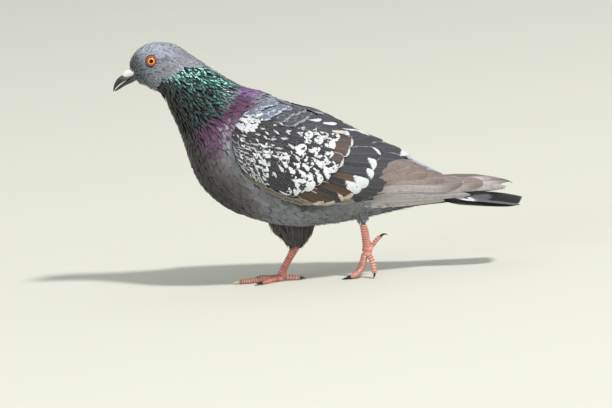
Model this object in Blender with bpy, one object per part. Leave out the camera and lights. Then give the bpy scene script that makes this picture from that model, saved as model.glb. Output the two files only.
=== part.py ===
"""A feral pigeon in mid-stride, life size, as one still model parted where a person would name its pieces.

The bird faces -X with its left side to -Y. Lengths below are in millimetres; meshes are written in metres.
The right foot stands flat in front and the left foot stands on its toe tips behind, both on the level z = 0.
"""
import math

import bmesh
import bpy
import numpy as np
from mathutils import Vector

MM = 0.001
GAP = 0.3                     # the thin cut between touching pieces

# --- Body: slanting sections from the back line to the belly line ---------------------------------
# name, (x, z) on the back line, (x, z) on the belly line, half width, drop of the widest level below the middle
BODY_SECTIONS = (
    ("face", (-138.6, 171.4), (-134.0, 161.6), 4.6, 0.0),
    ("lores", (-137.4, 176.4), (-130.8, 159.7), 7.6, 0.0),
    ("brow", (-134.0, 182.4), (-126.8, 157.9), 9.8, 0.0),
    ("forecrown", (-128.6, 187.1), (-123.4, 155.6), 11.4, 0.0),
    ("crown", (-119.8, 190.3), (-119.8, 153.1), 12.4, 0.02),
    ("hind_crown", (-110.6, 190.0), (-115.5, 149.6), 12.8, 0.04),
    ("nape", (-101.4, 187.2), (-112.2, 145.2), 13.2, 0.06),
    ("upper_neck", (-91.4, 179.6), (-109.6, 138.0), 14.6, 0.08),
    ("mid_neck", (-80.2, 170.2), (-107.0, 130.6), 17.6, 0.10),
    ("low_neck", (-67.6, 160.7), (-103.8, 121.6), 22.2, 0.12),
    ("neck_root", (-54.4, 152.0), (-101.0, 111.6), 27.6, 0.13),
    ("shoulders", (-39.8, 146.6), (-98.6, 101.0), 32.6, 0.13),
    ("mantle", (-26.8, 139.8), (-95.0, 88.4), 36.2, 0.12),
    ("breast", (-12.0, 132.6), (-86.6, 73.6), 38.4, 0.10),
    ("back", (8.2, 124.6), (-66.0, 56.6), 38.8, 0.08),
    ("lower_back", (30.2, 109.8), (-29.0, 43.8), 35.4, 0.06),
    ("flank", (50.8, 99.4), (6.0, 42.8), 28.4, 0.04),
    ("rump", (67.2, 88.8), (38.0, 46.4), 19.4, 0.02),
    ("tail_root", (92.0, 73.5), (74.0, 51.4), 10.6, 0.0),
    # beyond the trunk the sections only carry the folded wing tips
    ("tip_start", (116.0, 68.6), (106.0, 52.6), 6.4, 0.0),
    ("tip_middle", (134.0, 64.0), (130.0, 53.2), 4.2, 0.0),
    ("tip_end", (144.5, 59.6), (143.0, 54.6), 2.6, 0.0),
)
SECTION_INDEX = {section[0]: index for index, section in enumerate(BODY_SECTIONS)}
BODY_SIDES = 26
HEAD_RINGS, NECK_RINGS, TRUNK_RINGS = 17, 10, 21

# --- Bill, cere and eyes --------------------------------------------------------------------------
# (x, z) on top, (x, z) below, half width
CERE_SECTIONS = (
    ((-139.1, 171.6), (-136.9, 166.9), 3.5),
    ((-141.4, 170.1), (-137.5, 166.0), 3.5),
    ((-142.7, 168.7), (-138.9, 165.3), 2.9),
)
UPPER_BILL_SECTIONS = (
    ((-143.0, 168.4), (-139.2, 164.9), 2.7),
    ((-146.4, 165.7), (-143.5, 162.1), 2.4),
    ((-149.3, 162.5), (-147.1, 160.1), 1.9),
    ((-150.9, 159.2), (-149.6, 158.0), 1.2),
    ((-151.4, 156.0), (-151.1, 155.7), 0.3),
)
LOWER_BILL_SECTIONS = (
    ((-136.5, 166.0), (-134.8, 162.2), 3.3),
    ((-139.0, 164.3), (-137.4, 161.1), 2.8),
    ((-143.4, 161.5), (-142.0, 159.4), 2.1),
    ((-147.0, 159.5), (-146.2, 157.2), 1.4),
    ((-150.2, 156.4), (-149.7, 155.5), 0.35),
)
BILL_SIDES, BILL_RINGS = 12, 8
EYE_CENTRE_X, EYE_CENTRE_Z = -121.2, 176.9
EYE_RADIUS = 4.6
EYE_DEPTH = 9.6               # the eyeball's centre, out from the middle plane

# --- Folded wings, laid over the trunk ------------------------------------------------------------
# (x, z) seen from the side, each from the bend of the wing backwards
WING_UPPER_EDGE = (
    (-64.4, 122.0), (-50.4, 134.0), (-30.0, 138.0), (-8.0, 130.6), (18.0, 118.4), (42.0, 105.0), (66.6, 90.2),
)
WING_LOWER_EDGE = (
    (-66.0, 108.4), (-59.4, 89.4), (-45.0, 79.8), (-21.7, 67.0), (0.0, 63.6), (18.0, 61.6), (36.0, 60.2),
)
PRIMARY_UPPER_EDGE = ((67.4, 89.8), (84.0, 81.0), (104.0, 73.4), (124.0, 68.4), (143.6, 59.8))
PRIMARY_LOWER_EDGE = ((36.8, 60.0), (66.0, 56.8), (100.0, 56.8), (122.0, 57.8), (140.6, 58.8))
WING_STEPS, WING_ACROSS = 22, 9
PRIMARY_STEPS, PRIMARY_ACROSS = 16, 8
WING_CLEARANCE, PRIMARY_CLEARANCE = 0.45, 0.8   # to the trunk's flat facets
WING_TOP_THICKNESS, WING_EDGE_THICKNESS, WING_FULL_THICKNESS = 2.6, 1.4, 6.4
WING_REAR_THICKNESS = 4.2
PRIMARY_TOP_THICKNESS, PRIMARY_EDGE_THICKNESS = 2.2, 0.9
PRIMARY_ROOT_THICKNESS, PRIMARY_TIP_THICKNESS = 3.8, 1.8
WING_BULGE, PRIMARY_BULGE = 0.55, 0.5           # powers: lower is flatter between thin edges
WRIST_START, WRIST_GROWTH = 0.45, 4.0           # share of full thickness at the bend, and its rise

# --- Tail -----------------------------------------------------------------------------------------
# (x, z) on top, (x, z) below, half width
TAIL_SECTIONS = (
    ((90.0, 68.6), (75.6, 52.0), 5.2),
    ((97.0, 59.4), (90.4, 50.8), 3.8),
    ((108.6, 54.9), (106.4, 49.8), 7.6),
    ((121.0, 54.6), (120.0, 48.6), 12.6),
    ((136.0, 54.4), (135.0, 46.4), 16.0),
    ((149.0, 50.6), (148.4, 45.4), 16.4),
    ((151.4, 49.0), (150.8, 46.4), 11.6),
)
TAIL_SIDES, TAIL_RINGS = 20, 14

# --- Legs: centre line points (x, y, z) with half widths ------------------------------------------
RIGHT_THIGH = (
    ((-22.0, 13.0, 64.0), 20.0), ((-23.4, 12.0, 44.0), 19.0), ((-23.0, 10.4, 34.0), 12.6),
    ((-23.4, 9.4, 24.2), 5.0),
)
LEFT_THIGH = (((20.0, -14.0, 66.0), 11.0), ((27.2, -12.0, 53.0), 7.6), ((29.8, -11.0, 43.0), 3.6))
THIGH_FLATTEN = 0.62          # a thigh is narrower across the bird than along it
RIGHT_TARSUS = (
    ((-28.0, 9.0, 17.4), 2.6), ((-33.4, 8.4, 8.8), 2.7), ((-35.8, 8.0, 3.2), 3.6), ((-36.2, 7.9, 0.0), 3.0),
)
LEFT_TARSUS = (((30.4, -10.6, 33.0), 2.8), ((31.0, -10.2, 25.6), 3.1), ((30.6, -10.0, 20.8), 3.5))
# toe name, centre line points, half width, claw tip
RIGHT_TOES = (
    ("inner", ((-39.0, 5.2, 2.0), (-43.5, 1.4, 1.7), (-51.0, -5.2, 1.3)), 2.0, (-56.6, -9.6, 0.6)),
    ("middle", ((-40.2, 8.0, 2.1), (-52.0, 7.6, 1.9), (-67.4, 7.0, 1.4)), 2.25, (-73.6, 6.8, 0.6)),
    ("outer", ((-39.0, 10.8, 2.0), (-44.0, 15.2, 1.7), (-51.8, 22.0, 1.3)), 2.0, (-56.8, 26.0, 0.6)),
    ("hind", ((-31.4, 7.4, 2.2), (-27.0, 6.6, 1.7), (-21.6, 5.4, 1.3)), 1.9, (-17.4, 4.6, 0.7)),
)
LEFT_TOES = (
    ("inner", ((28.8, -7.0, 18.0), (25.9, -3.8, 9.6), (22.8, -2.2, 4.2), (19.4, -1.2, 1.4)), 1.9,
     (13.6, 0.4, 0.6)),
    ("middle", ((29.2, -10.4, 16.8), (26.8, -11.0, 9.2), (22.4, -11.4, 4.0), (17.2, -11.6, 1.6)), 2.2,
     (9.4, -11.9, 0.6)),
    ("outer", ((31.8, -12.9, 17.8), (34.2, -15.6, 11.6), (34.8, -17.2, 4.2)), 2.0, (33.6, -18.2, 0.0)),
    ("hind", ((35.4, -9.6, 23.6), (38.0, -9.2, 27.4), (41.6, -9.0, 30.4)), 1.7, (47.4, -8.6, 31.2)),
)
ANKLE_RADIUS = 3.1            # where a shank comes out of the thigh's feathers
LEG_SIDES, TOE_SIDES, CLAW_SIDES = 12, 10, 8
LEG_RINGS = 9
SOLE_LEVEL = 0.5              # anything lower than this is pressed flat on the floor
TOE_ROOT_PINCH = 0.7          # toe roots are pinched so that neighbours stay clear
TOE_END_TAPER = 0.8
CLAW_ROOT_RADIUS, CLAW_MIDDLE_RADIUS, CLAW_TIP_RADIUS = 1.15, 0.805, 0.3
CLAW_ARCH = 0.9               # how far a claw's middle rises above its chord
CLAW_COLLAR = 0.8             # a claw leaves its toe straight for this far
TOE_RINGS, CLAW_RINGS = 8, 6

# --- Search for a place on the body from its side view --------------------------------------------
SEARCH_STEPS = 40             # tries for each section
FIRST_TRY = 6
OUTSIDE_COST = 40             # millimetres of miss that a whole section's depth outside the body counts as
LEAST_DROP = 0.004            # keeps clear of the back and belly lines

# --- Finishes: linear colour, roughness -----------------------------------------------------------
FINISHES = {
    "head_feathers": ((0.24, 0.28, 0.36), 0.75),
    "neck_feathers": ((0.03, 0.14, 0.11), 0.45),
    "body_feathers": ((0.10, 0.11, 0.13), 0.8),
    "wing_feathers": ((0.13, 0.13, 0.15), 0.8),
    "primary_feathers": ((0.25, 0.21, 0.20), 0.7),
    "tail_feathers": ((0.06, 0.06, 0.07), 0.7),
    "bill_horn": ((0.03, 0.03, 0.035), 0.35),
    "cere": ((0.80, 0.78, 0.76), 0.8),
    "eye": ((0.75, 0.20, 0.02), 0.08),
    "leg_skin": ((0.70, 0.27, 0.22), 0.5),
    "claw_horn": ((0.02, 0.018, 0.018), 0.3),
}


def clear_scene():
    """Remove every object that the opened file holds."""
    for old in list(bpy.data.objects):
        bpy.data.objects.remove(old, do_unlink=True)


def finish(name):
    """The named finish as a material, made on first use."""
    found = bpy.data.materials.get(name)
    if found:
        return found
    colour, roughness = FINISHES[name]
    material = bpy.data.materials.new(name)
    material.use_nodes = True
    shader = material.node_tree.nodes["Principled BSDF"]
    shader.inputs["Base Color"].default_value = (*colour, 1.0)
    shader.inputs["Roughness"].default_value = roughness
    shader.inputs["Metallic"].default_value = 0.0
    material.diffuse_color = (*colour, 1.0)
    return material


def smooth(rows, place):
    """Catmull-Rom value at a place counted in rows."""
    table = np.asarray(rows, float)
    last = len(table) - 1
    index = min(max(int(place), 0), last - 1)
    u = place - index
    before, start, end, after = (table[min(max(index + step, 0), last)] for step in (-1, 0, 1, 2))
    return 0.5 * (2 * start + (end - before) * u + (2 * before - 5 * start + 4 * end - after) * u * u
                  + (3 * start - before - 3 * end + after) * u ** 3)


BODY_TABLE = np.array([(*top, *bottom, width, sag) for _, top, bottom, width, sag in BODY_SECTIONS])


def body_point(place, angle, grow=0.0):
    """Point on the body's surface: place along the sections, angle down from the back line towards +Y."""
    top_x, top_z, bottom_x, bottom_z, width, sag = smooth(BODY_TABLE, place)
    drop = (1 - math.cos(angle)) / 2
    side = math.sin(angle) * (1 - sag * math.cos(angle))
    point = np.array((top_x + (bottom_x - top_x) * drop, width * side, top_z + (bottom_z - top_z) * drop))
    if grow:
        point = point + grow * body_normal(place, angle)
    return point


def body_normal(place, angle):
    """Unit normal that points out of the body's surface."""
    step = 0.02
    along = body_point(place + step, angle) - body_point(place - step, angle)
    around = body_point(place, angle + step) - body_point(place, angle - step)
    normal = np.cross(along, around)
    return normal / np.linalg.norm(normal)


def locate(x, z):
    """Place and angle of the surface point that shows at x, z from the side."""
    best = None
    for step in range(FIRST_TRY, (len(BODY_SECTIONS) - 1) * SEARCH_STEPS):
        place = step / SEARCH_STEPS
        top_x, top_z, bottom_x, bottom_z, _, _ = smooth(BODY_TABLE, place)
        span = np.array((bottom_x - top_x, bottom_z - top_z))
        offset = np.array((x - top_x, z - top_z))
        miss = abs(span[0] * offset[1] - span[1] * offset[0]) / np.linalg.norm(span)
        drop = float(offset @ span / (span @ span))
        outside = max(0.0, -drop, drop - 1.0)
        score = miss + OUTSIDE_COST * outside
        if best is None or score < best[0]:
            best = (score, place, min(max(drop, LEAST_DROP), 1 - LEAST_DROP))
    return best[1], math.acos(1 - 2 * best[2])


def section_normal(place):
    """Unit normal of a section's plane, pointing towards the tail."""
    top_x, top_z, bottom_x, bottom_z, _, _ = smooth(BODY_TABLE, place)
    normal = np.array((top_z - bottom_z, 0.0, bottom_x - top_x))
    return normal / np.linalg.norm(normal)


def skin_rings(rings):
    """New bmesh with quads along rings of points in millimetres, and its rows of vertices; the ends stay open."""
    bm = bmesh.new()
    rows = [[bm.verts.new(Vector(point) * MM) for point in ring] for ring in rings]
    count = len(rows[0])
    for first, second in zip(rows, rows[1:]):
        for index in range(count):
            following = (index + 1) % count
            bm.faces.new((first[index], first[following], second[following], second[index]))
    return bm, rows


def add_object(name, rings, finish_name, parent):
    """Object from rings of points in millimetres, capped at both ends with a fan."""
    bm, rows = skin_rings(rings)
    count = len(rows[0])
    for row in (rows[0], rows[-1]):
        middle = bm.verts.new(sum((vert.co for vert in row), Vector()) / count)
        for index in range(count):
            bm.faces.new((row[index], row[(index + 1) % count], middle))
    return link_mesh(name, bm, finish_name, parent)


def link_mesh(name, bm, finish_name, parent):
    """Turn a bmesh into a named, parented object with outward faces and its finish."""
    bmesh.ops.recalc_face_normals(bm, faces=bm.faces)
    mesh = bpy.data.meshes.new(name)
    bm.to_mesh(mesh)
    bm.free()
    mesh.shade_smooth()
    mesh.set_sharp_from_angle(angle=math.radians(50))
    made = bpy.data.objects.new(name, mesh)
    bpy.context.scene.collection.objects.link(made)
    made.parent = parent
    if finish_name:
        mesh.materials.append(finish(finish_name))
    return made


def as_cutter(made):
    """Keep an object as a cutter only."""
    made.hide_render = True
    made.display_type = "WIRE"
    return made


def cut(made, cutter):
    """Subtract a cutter from an object with a Boolean modifier."""
    modifier = made.modifiers.new("cut_" + cutter.name, "BOOLEAN")
    modifier.operation = "DIFFERENCE"
    modifier.solver = "EXACT"
    modifier.object = cutter


def body_ring(place, sides, shift=0.0, grow=0.0):
    """One body section as a ring, moved along the section's own normal by shift."""
    offset = shift * section_normal(place)
    return [body_point(place, 2 * math.pi * index / sides, grow) + offset for index in range(sides)]


def body_length(name, start, end, count, finish_name, parent, grow=0.0):
    """A length of the body between two sections, each end set back by half a thin cut."""
    places = np.linspace(start, end, count)
    shifts = [0.0] * count
    shifts[0], shifts[-1] = GAP / 2, -GAP / 2
    rings = [body_ring(place, BODY_SIDES, shift, grow) for place, shift in zip(places, shifts)]
    return add_object(name, rings, finish_name, parent)


def flat_sections(name, sections, sides, rings, finish_name, parent, squareness=1.0):
    """Loft through sections that each give a top point, a bottom point and a half width."""
    table = [(*top, *bottom, width) for top, bottom, width in sections]
    loops = []
    for step in range(rings):
        top_x, top_z, bottom_x, bottom_z, width = smooth(table, step * (len(table) - 1) / (rings - 1))
        loop = []
        for index in range(sides):
            angle = 2 * math.pi * index / sides
            side = math.copysign(abs(math.sin(angle)) ** squareness, math.sin(angle))
            drop = (1 - math.copysign(abs(math.cos(angle)) ** squareness, math.cos(angle))) / 2
            loop.append((top_x + (bottom_x - top_x) * drop, max(width, 0.25) * side,
                         top_z + (bottom_z - top_z) * drop))
        loops.append(loop)
    return add_object(name, loops, finish_name, parent)


def tube(name, path, radii, sides, rings, finish_name, parent, across=1.0, start=None):
    """Tube along a smooth path with a radius at each path point, pressed flat where it meets the floor."""
    last = len(path) - 1
    places = np.linspace(0, last, rings)
    centres = [smooth(path, place) for place in places]
    widths = [float(smooth([(radius,) for radius in radii], place)[0]) for place in places]
    loops = []
    for index, (centre, width) in enumerate(zip(centres, widths)):
        ahead = centres[min(index + 1, rings - 1)] - centres[max(index - 1, 0)]
        if start is not None and index == 0:
            ahead = start
        ahead = ahead / np.linalg.norm(ahead)
        guide = np.array((0.0, 1.0, 0.0)) if abs(ahead[1]) < 0.9 else np.array((1.0, 0.0, 0.0))
        side = np.cross(ahead, np.cross(guide, ahead))
        side = side / np.linalg.norm(side)
        rise = np.cross(side, ahead)
        loop = []
        for turn in range(sides):
            angle = 2 * math.pi * (turn + 0.5) / sides
            point = centre + width * (math.cos(angle) * side * across + math.sin(angle) * rise)
            point[2] = 0.0 if point[2] < SOLE_LEVEL else point[2]
            loop.append(point)
        loops.append(loop)
    return add_object(name, loops, finish_name, parent)


def build_body(parent):
    """Head, neck and trunk, cut apart at the nape and at the shoulders."""
    face, nape = SECTION_INDEX["face"], SECTION_INDEX["nape"]
    shoulders, tail_root = SECTION_INDEX["shoulders"], SECTION_INDEX["tail_root"]
    head = body_length("head", face, nape, HEAD_RINGS, "head_feathers", parent)
    body_length("neck", nape, shoulders, NECK_RINGS, "neck_feathers", parent)
    body_length("trunk", shoulders, tail_root, TRUNK_RINGS, "body_feathers", parent)
    for side_name, side in (("left", -1), ("right", 1)):
        ball(f"eye_{side_name}", side, EYE_RADIUS, "eye", parent)
        cut(head, as_cutter(ball(f"socket_{side_name}", side, EYE_RADIUS + GAP, None, parent)))


def ball(name, side, radius, finish_name, parent):
    """An eyeball, or the socket that takes it, on one side of the head."""
    bm = bmesh.new()
    bmesh.ops.create_uvsphere(bm, u_segments=16, v_segments=10, radius=radius * MM)
    turn = math.radians(90)
    for vert in bm.verts:
        x, y, z = vert.co
        vert.co = (x, y * math.cos(turn) - z * math.sin(turn), y * math.sin(turn) + z * math.cos(turn))
        vert.co += Vector((EYE_CENTRE_X, side * EYE_DEPTH, EYE_CENTRE_Z)) * MM
    return link_mesh(name, bm, finish_name, parent)


def build_bill(parent):
    """Cere, upper bill and lower bill in front of the face."""
    flat_sections("cere", CERE_SECTIONS, BILL_SIDES, 4, "cere", parent)
    flat_sections("bill_upper", UPPER_BILL_SECTIONS, BILL_SIDES, BILL_RINGS, "bill_horn", parent)
    flat_sections("bill_lower", LOWER_BILL_SECTIONS, BILL_SIDES, BILL_RINGS, "bill_horn", parent)


def wing_shell(name, side, upper, lower, steps, across, thickness, clearance, finish_name, parent):
    """A shell over the trunk between two edges, with its own thickness at each place."""
    upper_spots = [locate(*point) for point in upper]
    lower_spots = [locate(*point) for point in lower]
    rings = []
    for step in range(steps):
        along = step / (steps - 1)
        top_place, top_angle = smooth(upper_spots, along * (len(upper) - 1))
        low_place, low_angle = smooth(lower_spots, along * (len(lower) - 1))
        outer, inner = [], []
        for column in range(across):
            down = column / (across - 1)
            place = top_place + (low_place - top_place) * down
            angle = top_angle + (low_angle - top_angle) * down
            outer.append(body_point(place, angle, clearance + thickness(along, down)) * (1, side, 1))
            inner.append(body_point(place, angle, clearance) * (1, side, 1))
        rings.append(outer + inner[::-1])
    bm, rows = skin_rings(rings)
    count = len(rows[0])
    for row in (rows[0], rows[-1]):
        for index in range(across - 1):
            bm.faces.new((row[index], row[index + 1], row[count - 2 - index], row[count - 1 - index]))
    return link_mesh(name, bm, finish_name, parent)


def wing_thickness(along, down):
    """Thick just behind the wrist and along the arm, thinner at the bend, the edges and towards the rear."""
    bulge = math.sin(math.pi * min(max(down, 0.0), 1.0)) ** WING_BULGE
    full = WING_FULL_THICKNESS + (WING_REAR_THICKNESS - WING_FULL_THICKNESS) * along
    front = min(1.0, WRIST_START + WRIST_GROWTH * along)
    edge = WING_TOP_THICKNESS + (WING_EDGE_THICKNESS - WING_TOP_THICKNESS) * down
    return edge + (full - edge) * bulge * front


def primary_thickness(along, down):
    """A blade of stacked flight feathers that thins towards its tip."""
    bulge = math.sin(math.pi * down) ** PRIMARY_BULGE
    full = PRIMARY_ROOT_THICKNESS + (PRIMARY_TIP_THICKNESS - PRIMARY_ROOT_THICKNESS) * along
    edge = PRIMARY_TOP_THICKNESS * (1 - along) + PRIMARY_EDGE_THICKNESS * along
    edge += (PRIMARY_EDGE_THICKNESS - edge) * down
    return edge + (full - edge) * bulge


def build_wings(parent):
    """Each folded wing in two lengths: the covered arm and the long flight feathers."""
    for side_name, side in (("left", -1), ("right", 1)):
        wing_shell(f"wing_{side_name}", side, WING_UPPER_EDGE, WING_LOWER_EDGE, WING_STEPS, WING_ACROSS,
                   wing_thickness, WING_CLEARANCE, "wing_feathers", parent)
        wing_shell(f"primaries_{side_name}", side, PRIMARY_UPPER_EDGE, PRIMARY_LOWER_EDGE, PRIMARY_STEPS,
                   PRIMARY_ACROSS, primary_thickness, PRIMARY_CLEARANCE, "primary_feathers", parent)


def build_legs(parent):
    """Thighs, shanks, toes and claws of both legs."""
    trunk_start, trunk_end = SECTION_INDEX["shoulders"], SECTION_INDEX["tail_root"]
    trunk_room = as_cutter(body_length("trunk_room", trunk_start, trunk_end, TRUNK_RINGS, None, parent, GAP))
    legs = (("right", RIGHT_THIGH, RIGHT_TARSUS, RIGHT_TOES), ("left", LEFT_THIGH, LEFT_TARSUS, LEFT_TOES))
    for side_name, thigh_path, tarsus_path, toes in legs:
        thigh_points, thigh_radii = zip(*thigh_path)
        tarsus_points, tarsus_radii = zip(*tarsus_path)
        thigh = tube(f"thigh_{side_name}", thigh_points, thigh_radii, LEG_SIDES, LEG_RINGS, "body_feathers",
                     parent, across=THIGH_FLATTEN)
        cut(thigh, trunk_room)
        onward = end_direction(thigh_points, LEG_RINGS)
        ankle = np.array(thigh_points[-1]) + onward * GAP
        tube(f"tarsus_{side_name}", [ankle, *tarsus_points], [ANKLE_RADIUS, *tarsus_radii], LEG_SIDES,
             LEG_RINGS, "leg_skin", parent, start=onward)
        for toe_name, path, radius, claw_tip in toes:
            build_toe(f"{side_name}_{toe_name}", path, radius, claw_tip, parent)


def end_direction(path, rings):
    """Unit direction in which a tube with this many rings leaves its last ring."""
    last = len(path) - 1
    onward = np.array(path[-1]) - smooth(path, last - last / (rings - 1))
    return onward / np.linalg.norm(onward)


def build_toe(name, path, radius, claw_tip, parent):
    """One toe with its claw: the claw arches from the toe's end to its tip."""
    radii = [radius] * len(path)
    radii[0], radii[-1] = radius * TOE_ROOT_PINCH, radius * TOE_END_TAPER
    tube(f"toe_{name}", path, radii, TOE_SIDES, TOE_RINGS, "leg_skin", parent)
    tip = np.array(claw_tip)
    onward = end_direction(path, TOE_RINGS)
    root = np.array(path[-1]) + onward * GAP
    collar = root + onward * CLAW_COLLAR
    middle = (collar + tip) / 2 + np.array((0.0, 0.0, CLAW_ARCH))
    claw_radii = [CLAW_ROOT_RADIUS, CLAW_ROOT_RADIUS, CLAW_MIDDLE_RADIUS, CLAW_TIP_RADIUS]
    tube(f"claw_{name}", [root, collar, middle, tip], claw_radii, CLAW_SIDES, CLAW_RINGS, "claw_horn", parent,
         start=onward)


def main():
    """Build every piece under one empty at the model's origin."""
    clear_scene()
    pigeon = bpy.data.objects.new("pigeon", None)
    bpy.context.scene.collection.objects.link(pigeon)
    build_body(pigeon)
    build_bill(pigeon)
    build_wings(pigeon)
    flat_sections("tail", TAIL_SECTIONS, TAIL_SIDES, TAIL_RINGS, "tail_feathers", pigeon, squareness=0.7)
    build_legs(pigeon)


main()
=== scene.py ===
"""A feral pigeon in mid-stride, dressed over its CAD frame.

One skin replaces the flesh solids. Over it lie solid vanes: short contour feathers in rows, the coverts and flight
feathers of both folded wings, and the tail. Bill, cere, eyes, scutes and claws are pieces of their own. Lengths
are in millimetres inside the classes and become metres when a mesh is made. The bird faces -X, its left is -Y.
"""
from __future__ import annotations

import logging
import math
from dataclasses import dataclass, field
from enum import Enum

import bmesh
import bpy
import numpy as np
from mathutils import Matrix, Vector
from mathutils.bvhtree import BVHTree
from mathutils.kdtree import KDTree

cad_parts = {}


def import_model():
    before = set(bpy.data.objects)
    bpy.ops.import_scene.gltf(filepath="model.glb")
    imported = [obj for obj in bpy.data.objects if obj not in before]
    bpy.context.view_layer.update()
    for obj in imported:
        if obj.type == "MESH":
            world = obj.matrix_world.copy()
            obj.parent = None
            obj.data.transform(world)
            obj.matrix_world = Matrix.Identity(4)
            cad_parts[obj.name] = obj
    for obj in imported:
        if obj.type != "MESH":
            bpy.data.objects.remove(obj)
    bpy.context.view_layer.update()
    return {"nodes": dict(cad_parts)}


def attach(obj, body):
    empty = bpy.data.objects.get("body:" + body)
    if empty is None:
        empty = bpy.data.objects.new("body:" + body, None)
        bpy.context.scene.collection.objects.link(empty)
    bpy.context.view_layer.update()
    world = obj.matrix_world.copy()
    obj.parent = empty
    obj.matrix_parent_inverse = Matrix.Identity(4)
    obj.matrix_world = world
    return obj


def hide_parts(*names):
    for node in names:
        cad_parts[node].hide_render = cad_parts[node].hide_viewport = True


LOG = logging.getLogger("pigeon")
MM = 0.001
ROOT = "root"
Array = np.ndarray
Point2 = tuple[float, float]
Point3 = tuple[float, float, float]

# The body's slanting sections, from the back line to the belly line:
# name, (x, z) on the back, (x, z) on the belly, half width, sag of the widest level
BODY_SECTIONS = (
    ("face", (-138.6, 171.4), (-134.0, 161.6), 4.6, 0.0),
    ("lores", (-137.4, 176.4), (-130.8, 159.7), 7.6, 0.0),
    ("brow", (-134.0, 182.4), (-126.8, 157.9), 9.8, 0.0),
    ("forecrown", (-128.6, 187.1), (-123.4, 155.6), 11.4, 0.0),
    ("crown", (-119.8, 190.3), (-119.8, 153.1), 12.4, 0.02),
    ("hind_crown", (-110.6, 190.0), (-115.5, 149.6), 12.8, 0.04),
    ("nape", (-101.4, 187.2), (-112.2, 145.2), 13.2, 0.06),
    ("upper_neck", (-91.4, 179.6), (-109.6, 138.0), 14.6, 0.08),
    ("mid_neck", (-80.2, 170.2), (-107.0, 130.6), 17.6, 0.10),
    ("low_neck", (-67.6, 160.7), (-103.8, 121.6), 22.2, 0.12),
    ("neck_root", (-54.4, 152.0), (-101.0, 111.6), 27.6, 0.13),
    ("shoulders", (-39.8, 146.6), (-98.6, 101.0), 32.6, 0.13),
    ("mantle", (-26.8, 139.8), (-95.0, 88.4), 36.2, 0.12),
    ("breast", (-12.0, 132.6), (-86.6, 73.6), 38.4, 0.10),
    ("back", (8.2, 124.6), (-66.0, 56.6), 38.8, 0.08),
    ("lower_back", (30.2, 109.8), (-29.0, 43.8), 35.4, 0.06),
    ("flank", (50.8, 99.4), (6.0, 42.8), 28.4, 0.04),
    ("rump", (67.2, 88.8), (38.0, 46.4), 19.4, 0.02),
    ("tail_root", (92.0, 73.5), (74.0, 51.4), 10.6, 0.0),
    ("tip_start", (116.0, 68.6), (106.0, 52.6), 6.4, 0.0),
    ("tip_middle", (134.0, 64.0), (130.0, 53.2), 4.2, 0.0),
    ("tip_end", (144.5, 59.6), (143.0, 54.6), 2.6, 0.0),
)
SECTION = {section[0]: index for index, section in enumerate(BODY_SECTIONS)}
LAST_SECTION = len(BODY_SECTIONS) - 1


class Side(Enum):
    """Which side of the bird: the sign of its Y."""

    LEFT = -1
    RIGHT = 1

    @property
    def word(self) -> str:
        """The side's name as the pieces and nodes spell it.

        Returns:
            "left" or "right".
        """
        return self.name.lower()


def colour(red: int, green: int, blue: int) -> Array:
    """Linear colour from display values of 0 to 255.

    Args:
        red: Red display value.
        green: Green display value.
        blue: Blue display value.

    Returns:
        Three linear values.
    """
    value = np.array((red, green, blue), float) / 255.0
    return np.where(value <= 0.04045, value / 12.92, ((value + 0.055) / 1.055) ** 2.4)


class Plumage:
    """The bird's own colours."""

    CROWN = colour(164, 171, 186)
    CHEEK = colour(126, 130, 140)
    LORES = colour(62, 64, 72)
    NAPE = colour(134, 137, 150)
    MINT = colour(126, 204, 188)
    GREEN = colour(64, 134, 124)
    DEEP_GREEN = colour(40, 80, 78)
    PURPLE = colour(144, 108, 160)
    DEEP_PURPLE = colour(94, 58, 88)
    NIGHT = colour(20, 22, 26)
    BREAST = colour(97, 91, 95)
    BELLY = colour(122, 126, 132)
    ASH = colour(148, 151, 160)
    MANTLE = colour(98, 106, 124)
    SLATE = colour(63, 63, 72)
    CHARCOAL = colour(48, 47, 54)
    UMBER = colour(92, 72, 62)
    WHITE = colour(226, 229, 234)
    BUFF = colour(206, 194, 178)
    BEIGE = colour(150, 140, 130)
    TAUPE = colour(140, 126, 121)
    LILAC = colour(192, 186, 190)
    RUMP = colour(186, 196, 208)
    TAIL_WEB = colour(102, 98, 104)
    TAIL_TIP = colour(22, 21, 24)
    THIGH = colour(74, 68, 70)
    SKIN_PINK = colour(224, 150, 136)
    SKIN_PALE = colour(236, 190, 176)


def ease(low: float, high: float, value: Array) -> Array:
    """Smooth step from 0 at low to 1 at high.

    Args:
        low: Value at which the step starts.
        high: Value at which it ends.
        value: The values to map.

    Returns:
        The eased share of each value.
    """
    share = np.clip((np.asarray(value, float) - low) / (high - low), 0.0, 1.0)
    return share * share * (3 - 2 * share)


def blend(first: Array, second: Array, share: Array) -> Array:
    """Mix two colours by a share for each row.

    Args:
        first: Colour at share 0, one row or many.
        second: Colour at share 1, one row or many.
        share: One share for each row.

    Returns:
        One colour for each row.
    """
    weight = np.asarray(share, float)[..., None]
    return first * (1 - weight) + second * weight


def spline(rows: Array, place: Array) -> Array:
    """Catmull-Rom values of a table at many places.

    Args:
        rows: The table, one row for each knot.
        place: Places counted in rows.

    Returns:
        One interpolated row for each place.
    """
    table = np.asarray(rows, float)
    last = len(table) - 1
    spot = np.asarray(place, float)
    index = np.clip(np.floor(spot).astype(int), 0, last - 1)
    u = (spot - index)[..., None]
    before, start, end, after = (table[np.clip(index + step, 0, last)] for step in (-1, 0, 1, 2))
    return 0.5 * (2 * start + (end - before) * u + (2 * before - 5 * start + 4 * end - after) * u * u
                  + (3 * start - before - 3 * end + after) * u ** 3)


def unit(vectors: Array) -> Array:
    """Rows scaled to length one.

    Args:
        vectors: The rows.

    Returns:
        The unit rows.
    """
    return vectors / np.maximum(np.linalg.norm(vectors, axis=-1, keepdims=True), 1e-9)


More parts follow.
